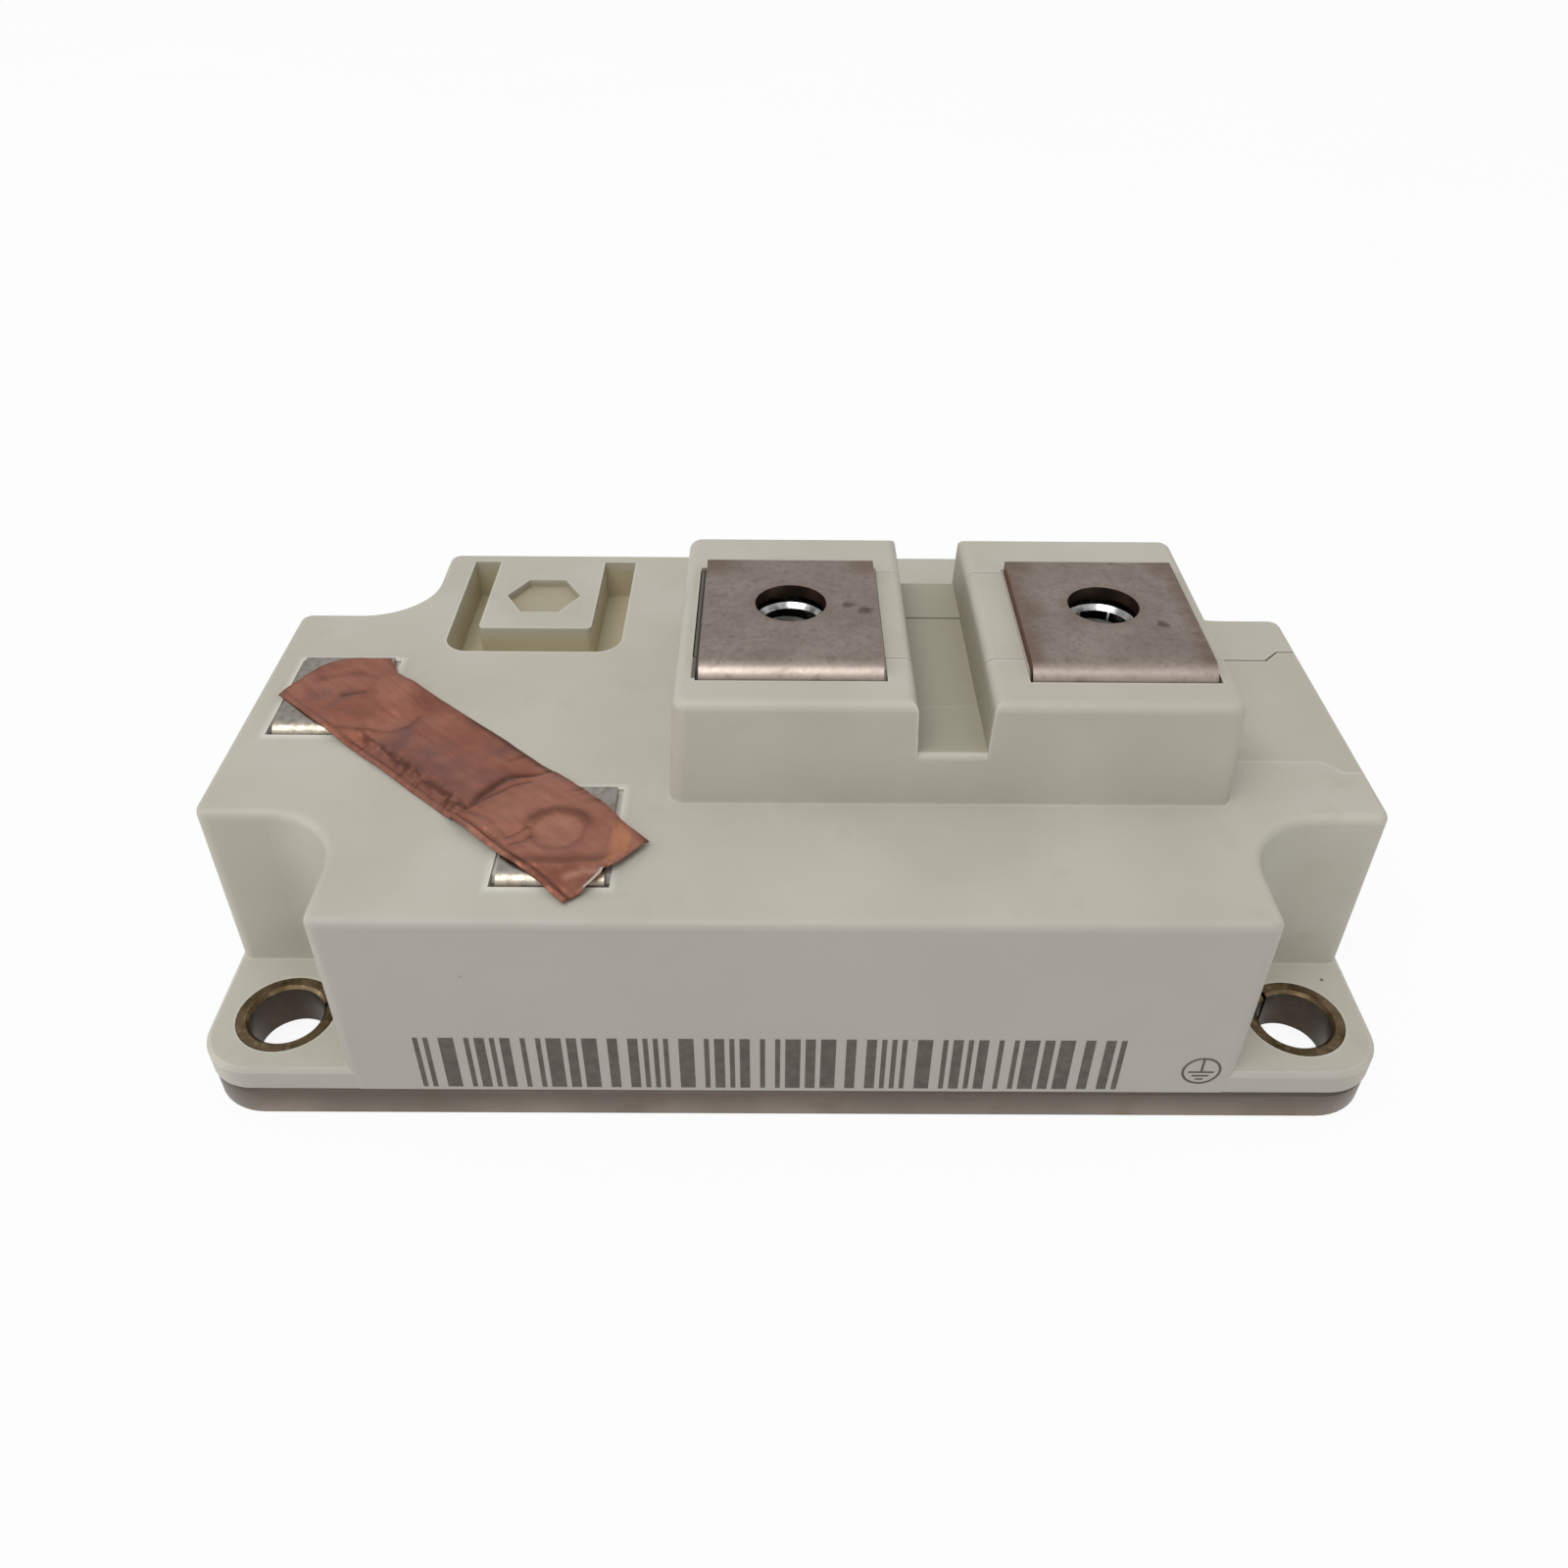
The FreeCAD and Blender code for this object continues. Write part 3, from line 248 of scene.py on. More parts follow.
def turned_to(tree, axis, way, low, high):
    # A mask of faces turned to an axis: either way for ABSOLUTE, to its minus side for MULTIPLY.
    geometry = add_node(tree, "ShaderNodeNewGeometry")
    parts = add_node(tree, "ShaderNodeSeparateXYZ", (), {0: geometry.outputs["Normal"]})
    size = add_node(tree, "ShaderNodeMath", {"operation": way, 1: -1.0}, {0: parts.outputs[axis]})
    mask = add_node(tree, "ShaderNodeMapRange", {"From Min": low, "From Max": high},
                    {"Value": size.outputs[0]})
    return mask.outputs["Result"]


def rectangle(tree, coords, place, soft):
    # A mask of an upright rectangle, given by its middle and half sides, fading out over a soft rim.
    parts = add_node(tree, "ShaderNodeSeparateXYZ", (), {0: coords})
    masks = []
    for axis, middle, half in (("X", place[0], place[2]), ("Y", place[1], place[3])):
        shifted = add_node(tree, "ShaderNodeMath", {"operation": "SUBTRACT", 1: middle * MM},
                           {0: parts.outputs[axis]})
        size = add_node(tree, "ShaderNodeMath", {"operation": "ABSOLUTE"}, {0: shifted.outputs[0]})
        masks.append(add_node(tree, "ShaderNodeMapRange",
                              {"From Min": half * MM, "From Max": (half + soft) * MM,
                               "To Min": 1.0, "To Max": 0.0},
                              {"Value": size.outputs[0]}).outputs["Result"])
    return add_node(tree, "ShaderNodeMath", {"operation": "MULTIPLY"}, {0: masks[0], 1: masks[1]}).outputs[0]


def hollow_shade(tree, coords, place):
    # A mask of a recess with straight sides, from a little under its rim, stronger towards its floor.
    parts = add_node(tree, "ShaderNodeSeparateXYZ", (), {0: coords})
    depth = add_node(tree, "ShaderNodeMapRange",
                     {"From Min": (place[4] - SHADE_START) * MM, "From Max": (place[4] - SHADE_FULL) * MM},
                     {"Value": parts.outputs["Z"]})
    return add_node(tree, "ShaderNodeMath", {"operation": "MULTIPLY"},
                    {0: rectangle(tree, coords, place, 0.1), 1: depth.outputs["Result"]}).outputs[0]


def bevel_edge_mask(tree, radius):
    # A mask of the edges, from how far a normal smoothed over a real radius turns from the true one.
    geometry = add_node(tree, "ShaderNodeNewGeometry")
    smoothed = add_node(tree, "ShaderNodeBevel", {"samples": 6, "Radius": radius * MM})
    turn = add_node(tree, "ShaderNodeVectorMath", {"operation": "DOT_PRODUCT"},
                    {0: geometry.outputs["Normal"], 1: smoothed.outputs["Normal"]})
    mask = add_node(tree, "ShaderNodeMapRange", {"From Min": 1.0, "From Max": 0.9},
                    {"Value": turn.outputs["Value"]})
    return mask.outputs["Result"]


def moulded_plastic(name, colour, shade):
    # Glass-filled PBT, injection moulded against a spark-eroded tool: matt, with a faint cloudy tone,
    # edges painted paler as a highlight, a fine grain of about 0.3 mm and a few dark specks of burnt resin.
    material, tree, shader, coords = start_material(name, colour, 0.5)
    tone = cloudy(tree, coords, 14.0, shade, colour)
    scuffs = patches(tree, ragged(tree, coords, 3.0, 2.0), 5.0, 0.62, 0.78)
    tone = stain(tree, tone, scuffs, 0.3, "#A39C8B")
    # Painted highlight: the edges are drawn paler.
    tone = stain(tree, tone, bevel_edge_mask(tree, 0.5), 0.4, "#D2CFC5")
    cells = add_node(tree, "ShaderNodeTexVoronoi", {"Scale": 1 / (9.0 * MM)}, {"Vector": coords})
    specks = add_node(tree, "ShaderNodeMapRange", {"From Min": 0.026, "From Max": 0.014},
                      {"Value": cells.outputs["Distance"]})
    tone = stain(tree, tone, specks.outputs["Result"], 0.9, "#5A5246")
    # The front wall is painted greyer as shade, and painted shade darkens the recesses.
    parts = add_node(tree, "ShaderNodeSeparateXYZ", (), {0: coords})
    front = add_node(tree, "ShaderNodeMapRange",
                     {"From Min": (FRONT_FACE + 0.8) * MM, "From Max": FRONT_FACE * MM},
                     {"Value": parts.outputs["Y"]})
    tone = stain(tree, tone, front.outputs["Result"], 0.65, "#A39C97")
    tone = stain(tree, tone, hollow_shade(tree, coords, SLOT), 0.6, "#8F8972")
    tone = stain(tree, tone, hollow_shade(tree, coords, HEXAGON), 1.0, "#514A31")
    # Painted light: the resin round the control terminals is drawn paler, lifting the shade in the gaps
    # round
    # their plates. Painted shade: the strip between the left main terminal and the carrier's gap is drawn as
    # dark as the gap.
    for cx, cy in (GATE, SENSE):
        painted_light = rectangle(tree, coords, (cx, cy - PAINTED_LIGHT_SHIFT, *PAINTED_LIGHT_HALF), 0.7)
        tone = stain(tree, tone, painted_light, 0.55, "#DAD8D0")
    tone = stain(tree, tone, hollow_shade(tree, coords, PLATE_GAP), 0.85, "#38332B")
    # Painted bounce light: the moat is drawn warmer and more olive towards its floor.
    tone = stain(tree, tone, hollow_shade(tree, coords, MOAT), 0.85, "#BCB191")
    tree.links.new(tone, shader.inputs["Base Color"])
    tree.links.new(patches(tree, coords, 8.0, 0.3, 0.7, 3.0, 0.44, 0.56), shader.inputs["Roughness"])
    fine_grain(tree, shader, coords, 0.3, 0.012)
    return material


def baseplate_copper():
    # Nickel-plated copper sheet, milled flat: dull grey-brown, with fine lines along its length.
    material, tree, shader, coords = start_material("nickel_plated_copper_milled", "#756B63", 0.42, 1.0)
    colour = cloudy(tree, coords, 9.0, "#796F66", "#887D74")
    dull = patches(tree, ragged(tree, coords, 2.0, 1.5), 4.0, 0.55, 0.75)
    colour = stain(tree, colour, dull, 0.5, "#6B5A4C")
    # Painted shadow: its edge is drawn darker towards the top, under the housing's seam.
    parts = add_node(tree, "ShaderNodeSeparateXYZ", (), {0: coords})
    shadow_under_housing = add_node(tree, "ShaderNodeMapRange", {"From Min": 0.4 * MM, "From Max": 2.7 * MM},
                    {"Value": parts.outputs["Z"]})
    tree.links.new(stain(tree, colour, shadow_under_housing.outputs["Result"], 0.75, "#595149"), shader.inputs["Base Color"])
    drawn_lines(tree, shader, coords, (0.04, 1.0, 1.0), 0.25, 0.01, 0.3, 0.55)
    return material


def terminal_nickel():
    # Nickel plate on copper strip, tarnished in storage: warm grey with brown clouds at the rims, fine
    # speckles, rolling lines along the strip, a few dark blots, and bare copper where it was sheared.
    material, tree, shader, coords = start_material("tarnished_nickel_plate", "#9A9088", 0.33, 1.0)
    plate = cloudy(tree, coords, 5.0, "#988B82", "#A89B92", 4.0)
    plate = stain(tree, plate, patches(tree, coords, 0.5, 0.45, 0.62, 4.0), 0.4, "#857870")
    rough_places = ragged(tree, coords, 1.2, 1.2)
    rims = [((COLLECTOR_X, 0, TERMINAL_TOP), 4.2), ((EMITTER_X, 0, TERMINAL_TOP), 4.4),
            ((EMITTER_X - PLATE_CORNER, -1.0, TERMINAL_TOP), 2.6)]
    rims += [((x + side * PLATE_CORNER, PLATE_CORNER, TERMINAL_TOP), 3.0)
             for x in (COLLECTOR_X, EMITTER_X) for side in (-1, 1)]
    rims += [((EMITTER_X + side * PLATE_SIDE, y, TERMINAL_TOP), 2.0)
             for y in range(-9, 8, 2) for side in (-1, 1)]
    plate = stain(tree, plate, blots(tree, rough_places, rims), 0.6, "#7A6250")
    plate = stain(tree, plate, blots(tree, rough_places, DARK_BLOTS), 0.7, "#4E4038")
    # Painted highlight: faces turned to the front, such as the bends, are drawn paler.
    plate = stain(tree, plate, turned_to(tree, "Y", "MULTIPLY", 0.25, 0.7), 0.5, "#BDAFA5")
    plate = stain(tree, plate, patches(tree, coords, 0.9, 0.56, 0.7), 0.3, "#6E6058")
    plate = stain(tree, plate, turned_to(tree, "X", "ABSOLUTE", 0.8, 0.95), 1.0, "#7A4E36")
    # Painted shade: the walls round the holes are drawn dark brown.
    holes = blots(tree, coords, [((x, 0, TERMINAL_TOP - 0.6), 8.5) for x in (COLLECTOR_X, EMITTER_X)])
    walls = add_node(tree, "ShaderNodeMath", {"operation": "MULTIPLY"},
                     {0: holes, 1: turned_to(tree, "Z", "ABSOLUTE", 0.6, 0.2)})
    tree.links.new(stain(tree, plate, walls.outputs[0], 0.9, "#503D31"), shader.inputs["Base Color"])
    drawn_lines(tree, shader, coords, (1.0, 0.04, 1.0), 0.18, 0.008, 0.3, 0.52)
    return material


def control_tin():
    # Tin on copper strip: dull grey and blotchy, with a painted highlight where the bend faces the front,
    # and copper showing through at the sheared sides.
    material, tree, shader, coords = start_material("tin_plate", "#B4AEA4", 0.3, 1.0)
    colour = cloudy(tree, coords, 2.5, "#9F9991", "#B5AFA6")
    # Painted highlight: faces turned to the front, such as the bend, are drawn brighter.
    painted_bend_highlight = turned_to(tree, "Y", "MULTIPLY", 0.15, 0.6)
    colour = stain(tree, colour, painted_bend_highlight, 0.7, "#C6BBA9")
    colour = stain(tree, colour, patches(tree, coords, 0.7, 0.48, 0.6), 0.5, "#857B6C")
    tree.links.new(stain(tree, colour, turned_to(tree, "X", "ABSOLUTE", 0.8, 0.95), 1.0, "#A08E7C"),
                   shader.inputs["Base Color"])
    drawn_lines(tree, shader, coords, (1.0, 0.04, 1.0), 0.15, 0.006, 0.26, 0.46)
    return material


def bush_steel():
    # Steel strip with a yellow-bronze passivation, rolled to a sleeve: satin, with lines round the wall,
    # and painted shade that darkens its rims and its inside.
    material, tree, shader, coords = start_material("yellow_passivated_steel_rolled", "#8A7862", 0.34, 1.0)
    colour = cloudy(tree, coords, 2.2, "#54472F", "#7F6C54")
    colour = stain(tree, colour, patches(tree, coords, 0.8, 0.55, 0.7), 0.5, "#A8967C")
    # Painted shade: the rims and the bore's wall are drawn dark.
    colour = stain(tree, colour, bevel_edge_mask(tree, 0.2), 0.5, "#3F3526")
    tree.links.new(stain(tree, colour, turned_to(tree, "Z", "ABSOLUTE", 0.7, 0.3), 0.9, "#3C362F"),
                   shader.inputs["Base Color"])
    drawn_lines(tree, shader, coords, (1.0, 1.0, 8.0), 0.2, 0.012, 0.26, 0.48)
    return material


def nut_zinc():
    # Zinc-plated steel nuts: bright bluish grey, faintly cloudy, with painted shade darkening the thread
    # deeper in the bore.
    material, tree, shader, coords = start_material("zinc_plated_steel", "#A4A5A3", 0.2, 1.0)
    parts = add_node(tree, "ShaderNodeSeparateXYZ", (), {0: coords})
    # Painted shade: the bore is drawn darker below its mouth.
    depth = add_node(tree, "ShaderNodeMapRange",
                     {"From Min": THREAD_SHADE[0] * MM, "From Max": THREAD_SHADE[1] * MM},
                     {"Value": parts.outputs["Z"]})
    colour = cloudy(tree, coords, 1.0, "#6A6B69", "#C6C7C5")
    tree.links.new(stain(tree, colour, depth.outputs["Result"], 0.9, "#3D3D3A"), shader.inputs["Base Color"])
    fine_grain(tree, shader, coords, 0.3, 0.006)
    return material


def plain_metal(name, low, high, roughness, size):
    # A metal with soft patches of tone and a fine grain.
    material, tree, shader, coords = start_material(name, high, roughness, 1.0)
    tree.links.new(cloudy(tree, coords, size, low, high), shader.inputs["Base Color"])
    fine_grain(tree, shader, coords, size / 8, 0.008)
    return material


def plain_body(name, low, high, roughness, size):
    # A ceramic, rubber or paste with soft patches of tone and a fine grain.
    material, tree, shader, coords = start_material(name, high, roughness)
    tree.links.new(cloudy(tree, coords, size, low, high), shader.inputs["Base Color"])
    fine_grain(tree, shader, coords, size / 8, 0.008)
    return material


def silicon_chip():
    # A silicon chip with an aluminium top: thin lines between its contact strips, 1.2 mm apart.
    material, tree, shader, coords = start_material("metallised_silicon", "#A7AAAE", 0.3, 1.0)
    strips = add_node(tree, "ShaderNodeTexWave", {"bands_direction": "Y", "Scale": 1 / (20 * 1.2 * MM)},
                      {"Vector": coords})
    lines = add_node(tree, "ShaderNodeMapRange", {"From Min": 0.08, "From Max": 0.02},
                     {"Value": strips.outputs["Fac"]})
    colour = cloudy(tree, coords, 3.0, "#9FA2A6", "#ADB0B4")
    tree.links.new(stain(tree, colour, lines.outputs["Result"], 1.0, "#3C4048"), shader.inputs["Base Color"])
    fine_grain(tree, shader, coords, 0.3, 0.004)
    return material


def silicone_gel():
    # Soft clear silicone gel, poured and cured: glassy, with a slight milky haze.
    material, tree, shader, coords = start_material("cured_silicone_gel", "#DDE3E4", 0.08)
    shader.inputs["IOR"].default_value = 1.41
    shader.inputs["Transmission Weight"].default_value = 0.85
    tree.links.new(cloudy(tree, coords, 12.0, "#D2D9DA", "#E8ECEC"), shader.inputs["Base Color"])
    tree.links.new(patches(tree, coords, 12.0, 0.3, 0.7, 3.0, 0.05, 0.14), shader.inputs["Roughness"])
    return material


def film_copper():
    # Thin copper film, creased by hand: reddish brown with streaks along the strip, purplish where it was
    # rubbed, more orange at one fold, with painted shade in the creases and along the edges, and shinier,
    # with painted highlights, where the tip was bent down. The colours of its places come from the piece's
    # own "tint" attribute.
    material, tree, shader, coords = start_material("creased_copper_film", "#A86C57", 0.36, 1.0)
    strip = add_node(tree, "ShaderNodeAttribute", {"attribute_name": "tint"})
    tints = add_node(tree, "ShaderNodeSeparateColor", (), {"Color": strip.outputs["Color"]})
    turned = add_node(tree, "ShaderNodeMapping", {"Rotation": (0, 0, -FOIL_ANGLE)}, {"Vector": coords})
    streaks = add_node(tree, "ShaderNodeMapping", {"Scale": (0.16, 1.0, 1.0)},
                       {"Vector": turned.outputs["Vector"]}).outputs["Vector"]
    colour = cloudy(tree, coords, 4.0, "#A36957", "#B77C67", 4.0)
    colour = stain(tree, colour, patches(tree, streaks, 0.7, 0.45, 0.75, 4.0), 0.5, "#8A584A")
    colour = stain(tree, colour, patches(tree, streaks, 1.1, 0.55, 0.8, 4.0), 0.5, "#C9917B")
    colour = stain(tree, colour, tints.outputs["Red"], 0.9, "#85605C")
    colour = stain(tree, colour, tints.outputs["Green"], 0.9, "#CB8862")
    # Painted highlight: the shiny places are drawn paler.
    colour = stain(tree, colour, strip.outputs["Alpha"], 0.75, "#D7A490")
    # Only the bent lip at the right end has a shine above 0.75, and is drawn nearly white as a painted
    # highlight.
    lip = add_node(tree, "ShaderNodeMapRange", {"From Min": 0.75, "From Max": 0.95},
                   {"Value": strip.outputs["Alpha"]})
    colour = stain(tree, colour, lip.outputs["Result"], 0.9, "#F4E2D8")
    # Painted shade from the dark tint, with a few dark patches and smears.
    tree.links.new(stain(tree, colour, tints.outputs["Blue"], 0.85, "#5C382B"), shader.inputs["Base Color"])
    dull = patches(tree, coords, 2.0, 0.3, 0.7, 3.0, 0.3, 0.46)
    gloss = add_node(tree, "ShaderNodeMath", {"operation": "MULTIPLY_ADD", 1: -0.16},
                     {0: strip.outputs["Alpha"], 2: dull})
    tree.links.new(gloss.outputs[0], shader.inputs["Roughness"])
    fine_grain(tree, shader, coords, 0.6, 0.05, 4.0)
    return material


def laser_print():
    # Laser marking: the resin turned dark grey, matt, a little uneven.
    material, tree, shader, coords = start_material("laser_marked_resin", "#5D5852", 0.6)
    tree.links.new(cloudy(tree, coords, 0.8, "#4B443C", "#59524A"), shader.inputs["Base Color"])
    fine_grain(tree, shader, coords, 0.2, 0.006)
    return material


# Stage

def make_stage():
    bpy.ops.mesh.primitive_plane_add(size=TABLE_SIZE, location=(0, 0, TABLE_LEVEL))
    floor = name_piece("table")
    material, tree, shader, coords = start_material("white_table", "#E8E8E6", 0.9)
    shader.inputs["Specular IOR Level"].default_value = 0.0
    tree.links.new(cloudy(tree, coords, 60.0, "#E6E6E4", "#EAEAE8"), shader.inputs["Base Color"])
    # Seen by the camera, in metal or through glass, the table is mostly plain white under its shadow.
    path = add_node(tree, "ShaderNodeLightPath")
    seen = add_node(tree, "ShaderNodeMath", {"operation": "MAXIMUM"},
                    {0: path.outputs["Is Camera Ray"], 1: path.outputs["Is Transmission Ray"]})
    seen = add_node(tree, "ShaderNodeMath", {"operation": "MAXIMUM"},
                    {0: seen.outputs[0], 1: path.outputs["Is Glossy Ray"]})
    share = add_node(tree, "ShaderNodeMath", {"operation": "MULTIPLY", 1: TABLE_WHITE}, {0: seen.outputs[0]})
    white = add_node(tree, "ShaderNodeEmission", {"Color": (1, 1, 1, 1), "Strength": 1.0})
    both = add_node(tree, "ShaderNodeMixShader", (),
                    {0: share.outputs[0], 1: shader.outputs[0], 2: white.outputs[0]})
    tree.links.new(both.outputs[0], tree.nodes["Material Output"].inputs["Surface"])
    floor.data.materials.append(material)

    world = bpy.data.worlds.new("studio")
    world.use_nodes = True
    scene.world = world
    tree = world.node_tree
    back = tree.nodes["Background"]
    back.inputs["Color"].default_value = (1, 1, 1, 1)
    # The studio is a little brighter overhead than at the horizon.
    upward = add_node(tree, "ShaderNodeTexCoord").outputs["Generated"]
    sky = add_node(tree, "ShaderNodeSeparateXYZ", (), {0: upward})
    glow = add_node(tree, "ShaderNodeMapRange", {"To Min": SKY_STRENGTH[0], "To Max": SKY_STRENGTH[1]},
                    {"Value": sky.outputs["Z"]})
    tree.links.new(glow.outputs["Result"], back.inputs["Strength"])

    # A softbox overhead and a weak fill from the left.
    for name, width, depth, energy, place in LAMPS:
        light = bpy.data.lights.new(name, "AREA")
        light.shape = "RECTANGLE"
        light.size = width
        light.size_y = depth
        light.energy = energy
        lamp = bpy.data.objects.new(name, light)
        lamp.location = place
        lamp.rotation_euler = (-Vector(place)).to_track_quat("-Z", "Y").to_euler()
        scene.collection.objects.link(lamp)


def make_camera():
    data = bpy.data.cameras.new("camera")
    data.sensor_width = SENSOR
    data.lens = CAMERA_LENS
    data.clip_start = CLIP_START * MM
    camera = bpy.data.objects.new("camera", data)
    camera.location = [c * MM for c in CAMERA_PLACE]
    camera.rotation_euler = [math.radians(a) for a in CAMERA_TURN]
    scene.collection.objects.link(camera)
    scene.camera = camera


make_camera()
make_stage()

# CAD nodes get their materials
resin = moulded_plastic("moulded_pbt", "#B8B4A8", "#B0AC9F")
carrier_resin = moulded_plastic("moulded_pbt_carrier", "#B5B1A4", "#ADA89A")
nickel = terminal_nickel()
tin = control_tin()
bush_finish = bush_steel()
zinc = nut_zinc()
solder = plain_metal("soft_solder_reflowed", "#8A8A88", "#A6A6A4", 0.4, 3.0)
copper = plain_metal("bare_copper_etched", "#A86A4C", "#C98A68", 0.35, 4.0)
alumina = plain_body("alumina_substrate", "#DEDCD2", "#ECEAE2", 0.55, 6.0)
chip = silicon_chip()
wire = plain_metal("drawn_aluminium_wire", "#B4B6B8", "#D2D4D6", 0.3, 1.0)
resistor = plain_body("thick_film_resistor", "#1E2422", "#2C3430", 0.4, 1.0)
adhesive = plain_body("silicone_adhesive_cured", "#3E3B37", "#4E4A45", 0.6, 2.0)
gel = silicone_gel()

FINISHES = (("housing", resin), ("nut_carrier", carrier_resin), ("baseplate", baseplate_copper()),
            ("collector_terminal", nickel), ("emitter_terminal", nickel), ("gate_terminal", tin),
            ("sense_terminal", tin), ("bush", bush_finish), ("solder", solder), ("bottom_copper", copper),
            ("tracks", copper), ("ceramic", alumina), ("igbt_chip", chip), ("diode_chip", chip),
            ("bond_wires", wire), ("gate_resistor", resistor), ("sealing_adhesive", adhesive),
            ("silicone_gel", gel), ("collector_nut", zinc), ("emitter_nut", zinc), ("gate_nut", zinc),
            ("sense_nut", zinc), ("shorting_foil", copper))

for node_name, node_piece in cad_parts.items():
    for start, finish in FINISHES:
        if node_name.startswith(start):
            node_piece.data.materials.clear()
            node_piece.data.materials.append(finish)
            break


# Crumpled foil strip, and the plates of the control terminals that it lies on, in millimetres

FOIL_THICK = 0.08
FOIL_STEPS = (300, 80)
FOIL_LEVEL = 24.58
FOIL_SAG = 0.6
AUX_TOP = 24.3
AUX_HALF = 4.5
AUX_BACK = 5.6
AUX_FRONT = 6.8

# Outline of the strip in its own length and width directions, each side as points along it
FOIL_FRONT = ((-0.4, -6.6), (4.2, -6.6), (7.5, -6.6), (11.7, -6.4), (16.4, -6.2), (21.7, -6.1), (25.4, -6.0),
              (28.6, -6.1), (34.8, -6.1), (38.1, -5.9), (42.8, -6.0))
FOIL_REAR = ((2.0, 4.7), (3.2, 4.3), (4.6, 3.7), (8.1, 4.0), (12.4, 4.3), (17.1, 4.4), (21.0, 4.5),
             (27.9, 4.5), (35.9, 4.5), (38.2, 4.1), (40.5, 3.9), (42.3, 3.8))
FOIL_LEFT = ((-6.6, -0.4), (-5.7, -0.7), (-4.3, -1.0), (-1.2, -1.7), (0.3, -1.6), (1.3, -1.2), (2.4, -0.5),
             (3.3, 0.6), (4.7, 2.0))
FOIL_RIGHT = ((-6.0, 42.8), (-4.4, 43.0), (-2.9, 42.9), (-1.9, 42.8), (-1.1, 42.4), (0.4, 42.5), (2.2, 42.4),
              (3.8, 42.3))

# Folds: the points of each, then its height, width, the darkness of its painted shade and the width of that
# dark line
MAIN_CREASE = ((28.4, 4.3), (27.7, 3.1), (26.4, 1.3), (26.2, -0.4), (26.6, -2.4), (27.0, -4.1))
TIP_FOLD = ((36.4, -6.2), (37.3, -5.2), (38.7, -4.1), (40.5, -2.1), (41.9, -0.8), (43.0, 0.0))
ORANGE_FOLD = ((37.2, 4.6), (39.4, 2.2), (40.8, 0.4), (42.2, -0.9))
FOLDS = ((((28.5, 1.8), (27.7, -0.1), (27.5, -1.8), (27.3, -3.7)), -0.14, 0.28, 0.6, 0.22),
         (((8.6, -5.6), (10.3, -4.5), (11.6, -3.3), (12.6, -2.0), (12.9, -0.4), (12.3, 1.0)),
          -0.1, 0.4, 0.4, 0.28),
         (((10.6, -4.0), (12.0, -2.8), (13.2, -1.2), (13.6, 0.2)), 0.12, 0.5, 0.0, 0.3),
         (((5.4, -0.7), (4.9, -1.6), (4.5, -2.4)), -0.12, 0.3, 0.6, 0.32),
         (((5.7, -4.6), (5.8, -2.9), (5.7, -1.2)), 0.13, 0.22, 0.0, 0.3),
         (((0.2, -2.4), (1.0, -0.8), (2.2, 0.9), (4.2, 1.8)), -0.08, 0.5, 0.3, 0.5),
         (((27.7, -4.6), (29.9, -3.9), (33.0, -4.3)), -0.1, 0.25, 0.3, 0.2),
         (((28.5, -5.3), (31.8, -5.1), (35.5, -5.2), (37.2, -5.4)), -0.12, 0.25, 0.45, 0.18),
         (((33.3, -4.4), (33.6, -3.3), (33.5, -2.3)), -0.12, 0.22, 0.45, 0.2),
         (((34.2, -4.7), (34.8, -3.6), (34.6, -2.8)), -0.1, 0.22, 0.4, 0.2),
         (((9.6, 3.0), (11.6, 2.6)), -0.08, 0.8, 0.3, 0.9),
         (((24.6, 4.1), (24.1, 2.9)), -0.08, 0.3, 0.4, 0.2))
IMPRINT = (35.8, -0.8)
IMPRINT_RADIUS = 2.3
PURPLE_SPOTS = (((2.8, -3.8), 1.0), ((4.6, -2.1), 0.7), ((15.0, -3.0), 2.4), ((18.2, -2.2), 2.6),
                ((21.0, -2.0), 2.6), ((24.0, -2.8), 2.4), ((24.6, -0.4), 1.8), ((22.0, 3.8), 1.6),
                ((13.4, -1.4), 1.4), ((26.2, -1.8), 1.6))
ORANGE_FACET = ((37.9, 3.9), (39.8, 3.8), (41.0, 2.9), (42.0, 1.6), (42.0, -0.6), (40.8, 0.4), (39.4, 2.2))


def along(points, value):
    # The second coordinate on a chain of points at a value of the first one.
    if value <= points[0][0]:
        return points[0][1]
    for (a0, b0), (a1, b1) in zip(points, points[1:]):
        if value <= a1:
            return b0 + (b1 - b0) * (value - a0) / (a1 - a0)
    return points[-1][1]


def path_gap(points, s, t):
    # Distance to a chain of points, signed: positive on the side of the strip's right end.
    best = None
    for (s0, t0), (s1, t1) in zip(points, points[1:]):
        ds, dt = s1 - s0, t1 - t0
        k = min(1.0, max(0.0, ((s - s0) * ds + (t - t0) * dt) / (ds * ds + dt * dt)))
        gap = math.hypot(s - s0 - k * ds, t - t0 - k * dt)
        side = -1.0 if (s - s0) * dt - (t - t0) * ds > 0 else 1.0
        if best is None or gap < abs(best):
            best = gap * side
    return best


def inside_facet(s, t, soft):
    # How far a point lies inside the convex facet, from 0 outside to 1.
    depth = min(((s1 - s0) * (t0 - t) + (s - s0) * (t1 - t0)) / math.hypot(s1 - s0, t1 - t0)
                for (s0, t0), (s1, t1) in zip(ORANGE_FACET, ORANGE_FACET[1:] + ORANGE_FACET[:1]))
    return smooth_step(-soft, soft, depth)


def rough(s, t, size, seed):
    return noise.noise(Vector((s / size, t / size, seed)))


def strip_to_module(s, t):
    c, d = math.cos(FOIL_ANGLE), math.sin(FOIL_ANGLE)
    return FOIL_START[0] + s * c - t * d, FOIL_START[1] + s * d + t * c


